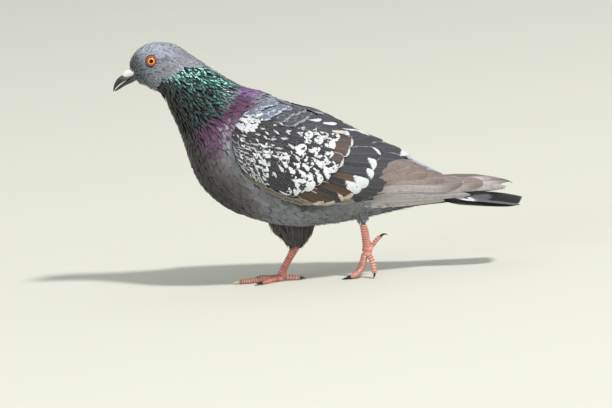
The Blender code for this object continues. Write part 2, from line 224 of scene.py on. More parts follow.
def between(ends: Point2, share: Array) -> Array:
    """Values between two ends.

    Args:
        ends: Value at share 0 and value at share 1.
        share: The shares.

    Returns:
        One value for each share.
    """
    return ends[0] + (ends[1] - ends[0]) * share


def rows_of(count: int, *columns: Array | float) -> Array:
    """Rows from columns.

    Args:
        count: How many rows.
        columns: One value for all rows, or one for each.

    Returns:
        The rows.
    """
    return np.stack([np.broadcast_to(np.asarray(column, float), (count,)) for column in columns], -1)


# --- Surfaces that feathers lie on ---------------------------------------------------------------------------------
class Surface:
    """A surface with two coordinates: place along the lie of the feathers, and angle across it."""

    step = 0.01

    def point(self, place: Array, angle: Array) -> Array:
        """Points of the surface at each place and angle.

        Args:
            place: Places along the lie.
            angle: Angles across it.

        Returns:
            Points in millimetres.
        """
        raise NotImplementedError

    def frame(self, place: Array, angle: Array) -> tuple[Array, Array, Array, Array]:
        """The surface's own axes at each place and angle.

        Args:
            place: Places along the lie.
            angle: Angles across it.

        Returns:
            Points, change per place, change per angle, and outward unit normals.
        """
        step = self.step
        spot = self.point(place, angle)
        along = (self.point(place + step, angle) - self.point(place - step, angle)) / (2 * step)
        around = (self.point(place, angle + step) - self.point(place, angle - step)) / (2 * step)
        return spot, along, around, unit(np.cross(along, around))


class BodyForm(Surface):
    """The body's outline solid: angle 0 on the back line, growing towards +Y, and pi on the belly line."""

    def __init__(self) -> None:
        """Read the section table once."""
        self.table = np.array([(*top, *bottom, width, sag) for _, top, bottom, width, sag in BODY_SECTIONS])

    def point(self, place: Array, angle: Array) -> Array:
        """Points of the body's outline.

        Args:
            place: Places along the sections.
            angle: Angles down from the back line.

        Returns:
            Points in millimetres.
        """
        rows = spline(self.table, place)
        cosine = np.cos(angle)
        drop = (1 - cosine) / 2
        side = np.sin(angle) * (1 - rows[..., 5] * cosine)
        return np.stack((rows[..., 0] + (rows[..., 2] - rows[..., 0]) * drop, rows[..., 4] * side,
                         rows[..., 1] + (rows[..., 3] - rows[..., 1]) * drop), axis=-1)


class WingForm(Surface):
    """The body's outline raised to the outside of the folded wings."""

    places = 150
    angles = 72
    reach = 25.0                     # how far out the rays start
    least = 0.5                      # what counts as covered

    def __init__(self, body: BodyForm, covers: BVHTree) -> None:
        """Measure how far the wings stand off the body.

        Args:
            body: The body's outline.
            covers: The wing solids, in metres.
        """
        self.body = body
        self.first = float(SECTION["neck_root"])
        grid_place = np.linspace(self.first, LAST_SECTION, self.places)
        grid_angle = np.linspace(0.0, math.pi, self.angles)
        place, angle = np.meshgrid(grid_place, grid_angle, indexing="ij")
        spot, _, _, normal = body.frame(place, np.clip(angle, 0.02, math.pi - 0.02))
        lift = np.zeros(place.shape)
        for row in range(self.places):
            for column in range(self.angles):
                start = Vector((spot[row, column] + normal[row, column] * self.reach) * MM)
                hit = covers.ray_cast(start, Vector(-normal[row, column]), (self.reach + 1.0) * MM)
                if hit[0] is not None:
                    lift[row, column] = max(self.reach - hit[3] / MM, 0.0)
        self.covered = lift > self.least
        for _ in range(2):
            padded = np.pad(lift, 1, mode="edge")
            lift = sum(padded[1 + a:1 + a + self.places, 1 + b:1 + b + self.angles]
                       for a in (-1, 0, 1) for b in (-1, 0, 1)) / 9
        self.lift = lift
        self.spots = body.point(place, angle) + normal * lift[..., None]
        self.grid = np.stack((place, angle), axis=-1)

    def height(self, place: Array, angle: Array, grid: Array | None = None) -> Array:
        """How far the wing's outside stands off the body.

        Args:
            place: Places along the sections.
            angle: Angles from the back line, of either sign.
            grid: Another grid to read in the same way.

        Returns:
            Heights in millimetres.
        """
        grid = self.lift if grid is None else grid
        row = np.clip((place - self.first) / (LAST_SECTION - self.first) * (self.places - 1), 0, self.places - 1.001)
        column = np.clip(np.abs(angle) / math.pi * (self.angles - 1), 0, self.angles - 1.001)
        r0, c0 = row.astype(int), column.astype(int)
        fr, fc = row - r0, column - c0
        return ((grid[r0, c0] * (1 - fr) + grid[r0 + 1, c0] * fr) * (1 - fc)
                + (grid[r0, c0 + 1] * (1 - fr) + grid[r0 + 1, c0 + 1] * fr) * fc)

    def point(self, place: Array, angle: Array) -> Array:
        """Points on the wing's outside, or on the body where no wing lies.

        Args:
            place: Places along the sections.
            angle: Angles from the back line, of either sign.

        Returns:
            Points in millimetres.
        """
        spot, _, _, normal = self.body.frame(place, angle)
        return spot + normal * self.height(place, angle)[..., None]

    def locate(self, points: Array) -> Array:
        """Place and angle of the points that show at (x, z) from the side.

        Args:
            points: Rows of x and z in millimetres.

        Returns:
            Rows of place and angle.
        """
        flat = self.spots.reshape(-1, 3)
        where = self.grid.reshape(-1, 2)
        found = []
        for x, z in np.atleast_2d(points):
            gap = (flat[:, 0] - x) ** 2 + (flat[:, 2] - z) ** 2
            near = np.argsort(gap)[:4]
            weight = 1.0 / (gap[near] + 0.05)
            found.append((where[near] * weight[:, None]).sum(axis=0) / weight.sum())
        return np.array(found)


class LimbForm(Surface):
    """A round limb along a centre line: place counts its points, angle runs round it."""

    def __init__(self, path: tuple[tuple[Point3, float], ...], across: float = 1.0) -> None:
        """Keep the centre line.

        Args:
            path: Centre line points with radii.
            across: How wide the limb is across the bird against along it.
        """
        self.path = np.array([(*point, radius) for point, radius in path])
        self.across = across

    def point(self, place: Array, angle: Array) -> Array:
        """Points of the limb's outside.

        Args:
            place: Places along the centre line.
            angle: Angles round it, 0 at +Y.

        Returns:
            Points in millimetres.
        """
        rows = spline(self.path, place)
        ahead = unit(spline(self.path, place + 0.05)[..., :3] - spline(self.path, place - 0.05)[..., :3])
        guide = np.broadcast_to(np.array((0.0, 1.0, 0.0)), ahead.shape)
        side = unit(guide - ahead * (guide * ahead).sum(axis=-1, keepdims=True))
        rise = np.cross(side, ahead)
        radius = rows[..., 3:4]
        return rows[..., :3] + radius * (np.cos(angle)[..., None] * side * self.across
                                         + np.sin(angle)[..., None] * rise)


class TailForm(Surface):
    """The tail's gently arched upper or lower face: place runs back, angle runs across in half widths."""

    step = 0.004

    def __init__(self, face: int) -> None:
        """Choose the face.

        Args:
            face: 1 for the upper face, -1 for the lower one.
        """
        self.face = face
        self.rows = np.array((
            (86.0, 66.0, 56.0, 5.0), (98.0, 61.6, 53.0, 6.5), (109.0, 58.8, 51.4, 9.0), (121.0, 56.6, 50.0, 12.8),
            (136.0, 53.6, 48.4, 15.4), (151.0, 49.2, 46.8, 16.6),
        ))

    def point(self, place: Array, angle: Array) -> Array:
        """Points of the tail's face.

        Args:
            place: 0 at the root and 5 at the tips.
            angle: -1 to 1 across the tail.

        Returns:
            Points in millimetres.
        """
        rows = spline(self.rows, place)
        height = rows[..., 1] if self.face > 0 else rows[..., 2]
        arch = (5.0 if self.face > 0 else 1.6) * np.square(angle)
        across = angle * rows[..., 3] * (1 if self.face > 0 else -1)
        return np.stack((rows[..., 0] + 0 * angle, across, height - arch), axis=-1)


# --- Meshes ----------------------------------------------------------------------------------------------------------
def link(name: str, mesh: bpy.types.Mesh, slot: str, *replaced: str) -> bpy.types.Object:
    """Put a finished mesh in the scene as a piece that rides on the bird.

    Args:
        name: The piece's name.
        mesh: Its mesh, in metres.
        slot: The name of a material slot in the record; not used.
        replaced: CAD nodes that it stands for.

    Returns:
        The new object.
    """
    piece = bpy.data.objects.new(name, mesh)
    bpy.context.scene.collection.objects.link(piece)
    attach(piece, ROOT)
    if replaced:
        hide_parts(*replaced)
    LOG.info("%s: %d faces", name, len(mesh.polygons))
    return piece


def array_mesh(name: str, points: Array, faces: list[Array]) -> bpy.types.Mesh:
    """A mesh from arrays of faces, each array with its own number of corners.

    Args:
        name: The mesh's name.
        points: Rows of points in millimetres.
        faces: Arrays of vertex numbers, one row for each face.

    Returns:
        The mesh, in metres.
    """
    mesh = bpy.data.meshes.new(name)
    mesh.vertices.add(len(points))
    mesh.vertices.foreach_set("co", (points * MM).astype(np.float32).ravel())
    sizes = np.concatenate([np.full(len(group), group.shape[1]) for group in faces])
    corners = np.concatenate([group.ravel() for group in faces])
    mesh.loops.add(len(corners))
    mesh.loops.foreach_set("vertex_index", corners.astype(np.int32))
    mesh.polygons.add(len(sizes))
    starts = np.concatenate(((0,), np.cumsum(sizes)[:-1])).astype(np.int32)
    mesh.polygons.foreach_set("loop_start", starts)
    mesh.update(calc_edges=True)
    mesh.validate(verbose=False)
    return mesh


def paint(mesh: bpy.types.Mesh, name: str, values: Array) -> None:
    """Store one colour or vector for each vertex.

    Args:
        mesh: The mesh to store it on.
        name: The attribute's name.
        values: Three values for each vertex.
    """
    attribute = mesh.attributes.new(name, "FLOAT_VECTOR", "POINT")
    attribute.data.foreach_set("vector", np.asarray(values, np.float32).ravel())


def lay_map(mesh: bpy.types.Mesh, name: str, values: Array) -> None:
    """Store a UV map from one pair for each vertex.

    Args:
        mesh: The mesh to store it on.
        name: The map's name.
        values: U and V for each vertex.
    """
    corner = np.zeros(len(mesh.loops), np.int32)
    mesh.loops.foreach_get("vertex_index", corner)
    layer = mesh.uv_layers.new(name=name)
    layer.uv.foreach_set("vector", np.asarray(values, np.float32)[corner].ravel())


@dataclass(frozen=True)
class VaneShape:
    """The outline of one kind of feather: its half width at stations from root to tip."""

    stations: tuple[float, ...]
    widths: tuple[float, ...]
    across: int = 3
    hollow_back: bool = True


SCALE_SHAPE = VaneShape((0.0, 0.3, 0.6, 0.82, 0.95, 1.0), (0.45, 0.85, 1.0, 0.86, 0.5, 0.12))
HACKLE_SHAPE = VaneShape((0.0, 0.25, 0.5, 0.75, 0.92, 1.0), (0.5, 0.95, 1.0, 0.72, 0.3, 0.04))
TUFT_SHAPE = VaneShape((0.0, 0.3, 0.65, 1.0), (0.8, 1.0, 0.6, 0.04))
LESSER_SHAPE = VaneShape((0.0, 0.3, 0.55, 0.75, 0.88, 0.96, 1.0), (0.5, 0.9, 1.0, 0.84, 0.56, 0.26, 0.05))
COVERT_SHAPE = VaneShape((0.0, 0.2, 0.4, 0.6, 0.75, 0.86, 0.94, 0.985, 1.0),
                         (0.35, 0.72, 0.94, 1.0, 0.98, 0.86, 0.62, 0.33, 0.1), 5, False)
FLIGHT_SHAPE = VaneShape((0.0, 0.12, 0.25, 0.4, 0.55, 0.7, 0.82, 0.9, 0.95, 0.985, 1.0),
                         (0.45, 0.7, 0.88, 0.97, 1.0, 0.98, 0.9, 0.76, 0.58, 0.34, 0.1), 5, False)


@dataclass
class Feathers:
    """A batch of feathers on one surface, one row each."""

    start: Array                     # place and angle of each root
    end: Array                       # place and angle of each tip
    width: Array                     # full widths
    sunk: Array                      # how deep each root lies under the surface
    proud: Array                     # how high each tip stands over it
    ground: Array                    # main colour
    edge: Array                      # fringe colour
    plan: Array                      # fringe width, pale share of the tip, tilt of that share
    thick: float = 0.22
    camber: float = 0.05
    web: Array | None = None         # share and side of a paler half

    def chosen(self, keep: Array) -> Feathers:
        """Only the rows that a mask keeps.

        Args:
            keep: One true or false for each feather.

        Returns:
            The smaller batch.
        """
        fields = (self.start, self.end, self.width, self.sunk, self.proud, self.ground, self.edge, self.plan)
        return Feathers(*(values[keep] for values in fields), self.thick, self.camber)


class BakeMap(Enum):
    """How the bake map places each feather."""

    PATCH = "a small patch at the root's place on the surface"
    CELL = "a cell of its own"


class VaneMaker:
    """Turns batches of feathers into one closed mesh."""

    patch = 0.003                    # size of a feather's patch on the bake map
    cell_margin = 0.06
    metric_floor = 0.08              # keeps vanes whole where the surface's grid shrinks to a point
    edge_drop = 0.4

    def __init__(self, name: str, bake: BakeMap) -> None:
        """Start an empty mesh.

        Args:
            name: The piece's name.
            bake: How the bake map places its feathers.
        """
        self.name = name
        self.bake = bake
        self.points: list[Array] = []
        self.faces: list[Array] = []
        self.maps: list[Array] = []
        self.roots: list[Array] = []
        self.paints: dict[str, list[Array]] = {"Ground": [], "Edge": [], "Plan": [], "Size": [], "Web": []}
        self.count = 0
        self.feathers = 0

    def add(self, surface: Surface, batch: Feathers, shape: VaneShape, seed: int = 0,
            place_span: tuple[float, float] = (0.0, float(LAST_SECTION)), angle_span: float = math.pi) -> None:
        """Lay one batch.

        Args:
            surface: What the feathers lie on.
            batch: The feathers.
            shape: Their outline.
            seed: Seed of their small differences.
            place_span: The places that the bake map's width stands for.
            angle_span: The angle that half of its height stands for.
        """
        number = len(batch.width)
        if number == 0:
            return
        along = np.array(shape.stations)
        half = np.array(shape.widths)
        stations = len(along)
        columns = np.linspace(-1.0, 1.0, shape.across)
        line = batch.start[:, None, :] + (batch.end - batch.start)[:, None, :] * along[None, :, None]
        spot, per_place, per_angle, normal = surface.frame(line[..., 0], line[..., 1])
        heading = (batch.end - batch.start)[:, None, :]
        ahead = unit(per_place * heading[..., 0:1] + per_angle * heading[..., 1:2])
        shift_place, shift_angle = self.sideways(np.cross(normal, ahead), per_place, per_angle)
        offset = batch.width[:, None, None] / 2 * half[None, :, None] * columns[None, None, :]
        place = line[..., 0][..., None] + shift_place[..., None] * offset
        angle = line[..., 1][..., None] + shift_angle[..., None] * offset
        base, _, _, top_normal = surface.frame(place, angle)
        rise = (-batch.sunk[:, None] * (1 - along[None, :]) ** 1.5 + batch.proud[:, None] * along[None, :] ** 1.2)
        arch = batch.camber * batch.width[:, None, None] * half[None, :, None] * (1 - columns[None, None, :] ** 2)
        top = base + top_normal * (rise[..., None] + arch)[..., None]
        ring = self.closed(top, top_normal, batch.thick, shape.hollow_back)
        corners = ring.shape[2]
        index = np.arange(number * stations * corners).reshape(number, stations, corners) + self.count
        following = np.roll(index, -1, axis=2)
        quads = np.stack((index[:, :-1], following[:, :-1], following[:, 1:], index[:, 1:]), axis=-1).reshape(-1, 4)
        self.faces.append(quads[:, ::-1])
        self.faces.append(index[:, 0, :])
        self.faces.append(index[:, -1, ::-1])
        self.points.append(ring.reshape(-1, 3))
        u_row = columns if shape.hollow_back else np.concatenate((columns, columns[-2:0:-1]))
        u_map = np.broadcast_to((u_row * 0.5 + 0.5)[None, None, :], (number, stations, corners))
        v_map = np.broadcast_to(along[None, :, None], (number, stations, corners))
        self.maps.append(np.stack((u_map, v_map), axis=-1).reshape(-1, 2))
        root_u = (batch.start[:, 0] - place_span[0]) / (place_span[1] - place_span[0])
        root_v = (batch.start[:, 1] + angle_span) / (2 * angle_span)
        root = np.stack((np.clip(root_u, 0.004, 0.996), np.clip(root_v % 1.0, 0.004, 0.996)), axis=-1)
        self.roots.append(np.repeat(root, stations * corners, axis=0))
        rng = np.random.default_rng(seed + 17)
        length = np.linalg.norm(spot[:, -1] - spot[:, 0], axis=-1)
        size = np.stack((batch.width, length, rng.random(number)), axis=-1)
        web = np.zeros((number, 3)) if batch.web is None else batch.web
        for key, values in (("Ground", batch.ground), ("Edge", batch.edge), ("Plan", batch.plan), ("Size", size),
                            ("Web", web)):
            self.paints[key].append(np.repeat(np.asarray(values, float), stations * corners, axis=0))
        self.count += number * stations * corners
        self.feathers += number

    def sideways(self, side: Array, per_place: Array, per_angle: Array) -> tuple[Array, Array]:
        """How place and angle change for a millimetre to a feather's side.

        Args:
            side: Unit vectors to the side.
            per_place: The surface's change per place.
            per_angle: Its change per angle.

        Returns:
            Changes of place and of angle.
        """
        gram_pp = (per_place ** 2).sum(-1)
        gram_aa = (per_angle ** 2).sum(-1)
        gram_pa = (per_place * per_angle).sum(-1)
        side_p, side_a = (side * per_place).sum(-1), (side * per_angle).sum(-1)
        least = self.metric_floor * float(np.median(gram_pp)) * float(np.median(gram_aa))
        scale = np.maximum(gram_pp * gram_aa - gram_pa ** 2, least)
        return (side_p * gram_aa - side_a * gram_pa) / scale, (side_a * gram_pp - side_p * gram_pa) / scale

    def closed(self, top: Array, normal: Array, thick: float, hollow_back: bool) -> Array:
        """Close each station's row of points into a ring.

        Args:
            top: Points of the vane's upper face, by feather, station and column.
            normal: The surface's normals there.
            thick: The vane's thickness.
            hollow_back: Let only the two edges drop instead of adding an under face.

        Returns:
            Points by feather, station and corner.
        """
        if not hollow_back:
            return np.concatenate((top, top[:, :, -2:0:-1] - normal[:, :, -2:0:-1] * thick), axis=2)
        ring = top.copy()
        for column in (0, -1):
            ring[:, :, column] -= normal[:, :, column] * thick * self.edge_drop
        return ring

    def mesh(self) -> bpy.types.Mesh:
        """Join everything that was laid.

        Returns:
            The mesh, with its maps and paints.
        """
        groups: dict[int, list[Array]] = {}
        for group in self.faces:
            groups.setdefault(group.shape[1], []).append(group)
        faces = [np.concatenate(parts) for parts in groups.values()]
        mesh = array_mesh(self.name, np.concatenate(self.points), faces)
        maps = np.concatenate(self.maps)
        lay_map(mesh, "Vane", maps)
        if self.bake is BakeMap.PATCH:
            lay_map(mesh, "OFBake", np.concatenate(self.roots) + (maps - 0.5) * self.patch)
        else:
            lay_map(mesh, "OFBake", self.cells(maps))
        for key, values in self.paints.items():
            paint(mesh, key, np.concatenate(values))
        mesh.shade_smooth()
        mesh.set_sharp_from_angle(angle=math.radians(60))
        return mesh

    def cells(self, maps: Array) -> Array:
        """A bake map that gives each feather a cell.

        Args:
            maps: Each vertex's place on its own feather.

        Returns:
            Each vertex's place on the bake map.
        """
        per_side = math.ceil(math.sqrt(self.feathers))
        number = self.owners()
        column, row = number % per_side, number // per_side
        inner = self.cell_margin + (1 - 2 * self.cell_margin) * maps
        return np.stack(((column + inner[:, 0]) / per_side, (row + inner[:, 1]) / per_side), axis=-1)

    def owners(self) -> Array:
        """The feather number of each vertex, counted where the size's own random value changes.

        Returns:
            One number for each vertex.
        """
        sizes = np.concatenate(self.paints["Size"])
        return np.concatenate(((0,), np.cumsum(np.any(np.diff(sizes, axis=0) != 0, axis=1))))


# --- Laying the coat -------------------------------------------------------------------------------------------------
@dataclass
class Scatter:
    """Evenly but irregularly spread roots on a region of a surface."""

    surface: Surface
    places: Point2
    angles: Point2
    seed: int
    sample: int = 4000               # places tried to measure the region's area
    surplus: int = 5                 # places tried for each root that fits

    def spots(self, pitch: float, sparse: float = 1.0) -> Array:
        """Pick roots so that none is nearer to another than the pitch.

        Args:
            pitch: Least distance in millimetres at the region's start.
            sparse: How many times larger it is at the region's end.

        Returns:
            Rows of place and angle.
        """
        rng = np.random.default_rng(self.seed)
        place = rng.uniform(*self.places, self.sample)
        angle = rng.uniform(*self.angles, self.sample)
        _, along, around, _ = self.surface.frame(place, angle)
        size = np.linalg.norm(np.cross(along, around), axis=-1)
        area = size.mean() * (self.places[1] - self.places[0]) * (self.angles[1] - self.angles[0])
        mean = pitch * (1 + sparse) / 2
        tries = int(area / mean ** 2 * self.surplus)
        place = rng.uniform(*self.places, tries * 3)
        angle = rng.uniform(*self.angles, tries * 3)
        point, along, around, _ = self.surface.frame(place, angle)
        density = np.linalg.norm(np.cross(along, around), axis=-1)
        keep = rng.random(len(place)) < density / max(density.max(), 1e-9)
        place, angle, point = place[keep], angle[keep], point[keep]
        share = (place - self.places[0]) / (self.places[1] - self.places[0])
        radius = pitch * (1 + (sparse - 1) * share)
        tree = KDTree(len(point))
        for number, row in enumerate(point):
            tree.insert(row, number)
        tree.balance()
        alive = np.ones(len(point), bool)
        for number, row in enumerate(point):
            if alive[number]:
                for _, other, _ in tree.find_range(row, radius[number]):
                    if other > number:
                        alive[other] = False
        return np.stack((place[alive], angle[alive]), axis=-1)


def lie(surface: Surface, start: Array, length: Array, swing: Array) -> Array:
    """Where feathers end that start at given roots.

    Args:
        surface: The surface that they lie on.
        start: Place and angle of each root.
        length: Length of each feather in millimetres.
        swing: Turn of each one from the surface's own direction, in radians.

    Returns:
        Place and angle of each tip.
    """
    _, along, around, normal = surface.frame(start[:, 0], start[:, 1])
    ahead = unit(along)
    side = np.cross(normal, ahead)
    way = (ahead * np.cos(swing)[:, None] + side * np.sin(swing)[:, None]) * length[:, None]
    gram = np.stack((np.stack(((along * along).sum(-1), (along * around).sum(-1)), -1),
                     np.stack(((along * around).sum(-1), (around * around).sum(-1)), -1)), -2)
    gram += np.eye(2) * 1e-6
    pull = np.stack(((way * along).sum(-1), (way * around).sum(-1)), -1)
    return start + np.linalg.solve(gram, pull[..., None])[..., 0]


class Markings:
    """Colours of the body plumage by place and angle."""

    tilt = 0.13
    green_top = ((-122.0, 155.0), (-120.0, 158.0), (-115.0, 163.5), (-107.0, 166.0), (-100.6, 172.0), (-87.0, 172.5),
                 (-79.0, 168.0), (-68.0, 160.5), (-60.0, 156.0))
    purple_top = ((-104.0, 117.0), (-96.6, 123.0), (-81.5, 130.4), (-66.1, 140.9), (-61.2, 150.0), (-56.0, 160.0))
    purple_foot = ((-104.0, 100.0), (-92.3, 104.0), (-73.5, 108.4), (-63.7, 121.2), (-58.0, 132.5), (-46.8, 141.0),
                   (-40.0, 152.0))
    wing_foot = ((-60.0, 90.0), (-56.0, 86.0), (-50.0, 80.2), (-38.0, 72.0), (-26.9, 64.8), (-15.7, 60.5),
                 (11.5, 58.7))
    flap = ((-50.4, 63.7), (-53.6, 72.0), (-59.3, 86.9))
    heart = ((-86.0, 10.0), (152.0, 6.0))        # middle and size of the neck's dark heart along x and z

    def __init__(self, body: BodyForm) -> None:
        """Keep the body's outline.

        Args:
            body: The body's outline.
        """
        self.body = body

    def head(self, spot: Array, rng: np.random.Generator) -> tuple[Array, Array, Array]:
        """Blue-grey head, darker before and behind the eye.

        Args:
            spot: Place and angle of each feather.
            rng: Source of small differences.

        Returns:
            Ground colours, edge colours and plans.
        """
        point = self.body.point(spot[:, 0], spot[:, 1])
        x, z = point[:, 0], point[:, 2]
        ground = blend(Plumage.CHEEK, Plumage.CROWN, ease(172, 186, z + 0.15 * (x + 120)))
        ground = blend(ground, Plumage.NAPE, ease(-116, -100, x))
        bill_side = ease(-125, -135, x + 0.35 * (z - 172)) * ease(186, 178, z)
        ground = blend(ground, Plumage.LORES, 0.75 * bill_side)
        line = np.exp(-(((z - 178.6) - 0.12 * (x + 117)) / 1.3) ** 2) * ease(-118.5, -116, x) * ease(-106, -112, x)
        ground = blend(ground, Plumage.LORES, 0.7 * line)
        throat = ease(164, 155, z) * ease(-108, -122, x)
        ground = blend(ground, Plumage.CHEEK * 0.72, throat)
        ground = ground * rng.uniform(0.86, 1.12, (len(spot), 1))
        edge = ground * 1.25 + 0.02
        return ground, edge, rows_of(len(spot), 0.25, 0.0, 0.0)

    def seen(self, spot: Array) -> tuple[Array, Array, Array]:
        """Where feathers show from the side.

        Args:
            spot: Place and angle of each feather.

        Returns:
            Length along the bird, height as it shows from a little above, and angle without its sign.
        """
        point = self.body.point(spot[:, 0], spot[:, 1])
        return point[:, 0], point[:, 2] - self.tilt * np.abs(point[:, 1]), np.abs(spot[:, 1])

    def below(self, line: tuple[Point2, ...], x: Array, z: Array, soft: float) -> Array:
        """How far feathers lie below a line on the side of the bird.

        Args:
            line: Rows of length and height.
            x: Length along the bird.
            z: Height.
            soft: Width of the change.

        Returns:
            0 above the line to 1 below it.
        """
        knots = np.array(line)
        return ease(-soft, soft, np.interp(x, knots[:, 0], knots[:, 1]) - z)

    def iris_tint(self, x: Array, z: Array, angle: Array, rng: np.random.Generator) -> tuple[Array, Array]:
        """The dull purple band between the green hackles and the breast.

        Args:
            x: Length along the bird.
            z: Height.
            angle: Angle down from the back.
            rng: Source of small differences.

        Returns:
            Colours, and how much of the band each feather has.
        """
        tint = blend(Plumage.PURPLE, Plumage.DEEP_PURPLE, ease(0.35, 0.8, angle))
        noise = rng.normal(0.0, 1.6, len(x))
        share = self.below(self.purple_top, x, z + noise, 2.5) * (1 - self.below(self.purple_foot, x, z + noise, 5.0))
        return tint * rng.uniform(0.7, 1.15, (len(x), 1)), share * (1 - 0.75 * ease(1.9, 2.4, angle))

    def neck(self, spot: Array, rng: np.random.Generator) -> tuple[Array, Array, Array]:
        """Green hackles: mint at the top, partly painted highlight, a dark heart, lavender at the rear, purple below,
        and painted shade near black in front.

        Args:
            spot: Place and angle of each feather.
            rng: Source of small differences.

        Returns:
            Ground colours, edge colours and plans.
        """
        count = len(spot)
        x, z, angle = self.seen(spot)
        noise = rng.normal(0.0, 2.0, count)
        green = self.below(self.green_top, x, z + noise, 2.6)
        # painted shade: the neck's front, facing away from the light, loses most glints and goes near black
        front = ease(1.75, 2.35, angle)
        # the green turns mint towards the top of the neck: partly the hackles' own colour, partly painted highlight
        # where the light from above catches them; less in the dark heart
        bright = ease(140, 160, z + 0.35 * (x + 90)) * ease(1.9, 1.3, angle)
        (mid_x, size_x), (mid_z, size_z) = self.heart
        bright = bright * (1 - 0.8 * np.exp(-((x - mid_x) / size_x) ** 2 - ((z - mid_z) / size_z) ** 2))
        rear = ease(-78, -68, x) * ease(159, 151, z)
        tip = blend(Plumage.DEEP_GREEN, Plumage.GREEN, ease(0.0, 0.6, bright))
        tip = blend(tip, Plumage.MINT, ease(0.5, 1.0, bright) * (rng.random(count) < 0.65))
        # lit hackles show their green tips as a painted glint; the others stay near black
        lit = rng.random(count) < 0.78 + 0.2 * ease(160, 168, z) - 0.25 * front
        tip = np.where(lit[:, None], tip * rng.uniform(0.35, 1.2, (count, 1)), Plumage.NIGHT * 1.3)
        # pale mint dashes high behind the head: partly the hackles' own mint, partly painted glint
        mint_and_glint = rng.random(count) < 0.55 * ease(158, 166, z) * ease(-84, -92, x)
        tip = np.where(mint_and_glint[:, None], Plumage.MINT * 0.9 + 0.08, tip)
        tip = blend(tip, Plumage.NIGHT * 0.9, front * 0.8)
        tip = blend(tip, Plumage.NAPE * 0.85, 0.6 * rear)
        ground = np.repeat(Plumage.NIGHT[None, :] * 0.7, count, axis=0)
        ground = blend(ground, Plumage.DEEP_GREEN * 0.55, 0.6 * ease(150, 162, z) * (1 - front))
        ground = blend(ground, Plumage.NAPE * 0.45, 0.6 * rear)
        tint, share = self.iris_tint(x, z, angle, rng)
        tip, ground = blend(tip, tint, share), blend(ground, tint * 0.6, share)
        under = self.below(self.purple_foot, x, z, 4.0)
        tip, ground = blend(tip, Plumage.BREAST, under * (1 - front)), blend(ground, Plumage.BREAST * 0.8, under)
        nape = blend(Plumage.CHEEK, Plumage.NAPE, ease(150, 172, z)) * rng.uniform(0.86, 1.1, (count, 1))
        ground, tip = blend(nape * 0.8, ground, green), blend(nape, tip, green)
        pale = rng.uniform(0.2, 0.44, count) + 0.4 * share + 0.3 * (1 - green)
        return ground, tip, rows_of(count, 0.0, pale, rng.uniform(-1.2, 1.2, count))

    def trunk(self, spot: Array, rng: np.random.Generator) -> tuple[Array, Array, Array]:
        """Mottled mantle, brown slate breast, blue-grey belly, ash beside the wing bend and a pale rump, with painted
        shade under the wing and on the breast's underside.

        Args:
            spot: Place and angle of each feather.
            rng: Source of small differences.

        Returns:
            Ground colours, edge colours and plans.
        """
        x, z, angle = self.seen(spot)
        count = len(spot)
        ground = blend(Plumage.BREAST, Plumage.BELLY, ease(-62, -22, x - 0.5 * (z - 80)))
        ash = np.exp(-((x + 68 + 0.4 * (z - 112)) / 9.5) ** 2) * ease(60, 84, z) * ease(2.4, 1.8, angle)
        ground = blend(ground, Plumage.ASH * 1.05, 0.95 * ash)
        knots = np.array(self.flap)
        off = x - np.interp(z, knots[:, 1], knots[:, 0])
        low = ease(56, 62, z) * ease(92, 84, z)
        ground = blend(ground, Plumage.ASH * 0.85, 0.7 * low * ease(-11, -2, off) * ease(1.0, -0.5, off))
        # painted shade: a near black strip under the wing's lower edge, behind the flap, where the wing shades the
        # flank
        shade = self.below(self.wing_foot, x, z, 1.0) * (1 - self.below(self.wing_foot, x, z + 6.5, 2.5))
        ground = blend(ground, Plumage.NIGHT, 0.75 * shade * ease(-0.5, 1.0, off) * ease(4, -16, x))
        tint, share = self.iris_tint(x, z, angle, rng)
        ground = blend(ground, tint, share * (1 - ash))
        mantle = ease(1.1, 0.7, angle) * ease(-56, -44, x)
        ground = blend(ground, Plumage.MANTLE, mantle)
        ground = blend(ground, Plumage.SLATE, mantle * (rng.random(count) < 0.35))
        ground = blend(ground, Plumage.ASH, 0.75 * mantle * ease(-20, -32, x) * (rng.random(count) < 0.75))
        rump = ease(34, 52, x) * ease(1.9, 1.2, angle)
        ground = blend(ground, Plumage.RUMP, rump)
        vent = ease(20, 60, x) * ease(1.9, 2.4, angle)
        ground = blend(ground, Plumage.SLATE * 0.9, vent)
        ground = ground * rng.uniform(0.82, 1.16, (count, 1))
        # painted shade: the underside of the breast's front goes near black
        ground = blend(ground, Plumage.NIGHT, 0.88 * ease(1.95, 2.7, angle) * ease(-46, -80, x))
        edge = blend(ground * 1.22, Plumage.RUMP * 0.75, mantle * 0.6)
        return ground, edge, rows_of(count, 0.2 + 0.15 * mantle, 0.0, 0.0)

    def vent(self, spot: Array, rng: np.random.Generator) -> tuple[Array, Array, Array]:
        """Loose brown slate wisps under the belly and tail root.

        Args:
            spot: Place and angle of each feather.
            rng: Source of small differences.

        Returns:
            Ground colours, edge colours and plans.
        """
        ground = blend(Plumage.THIGH, Plumage.BELLY, rng.random(len(spot)) * 0.7)
        return ground * 0.9, ground * 1.2, np.tile((0.3, 0.0, 0.0), (len(spot), 1))


@dataclass
class CoatRegion:
    """Where one kind of contour feather grows."""

    places: Point2
    pitch: float
    sparse: float
    length: Point2
    width: Point2
    depth: float
    proud: Point2
    shape: VaneShape
    camber: float = 0.08


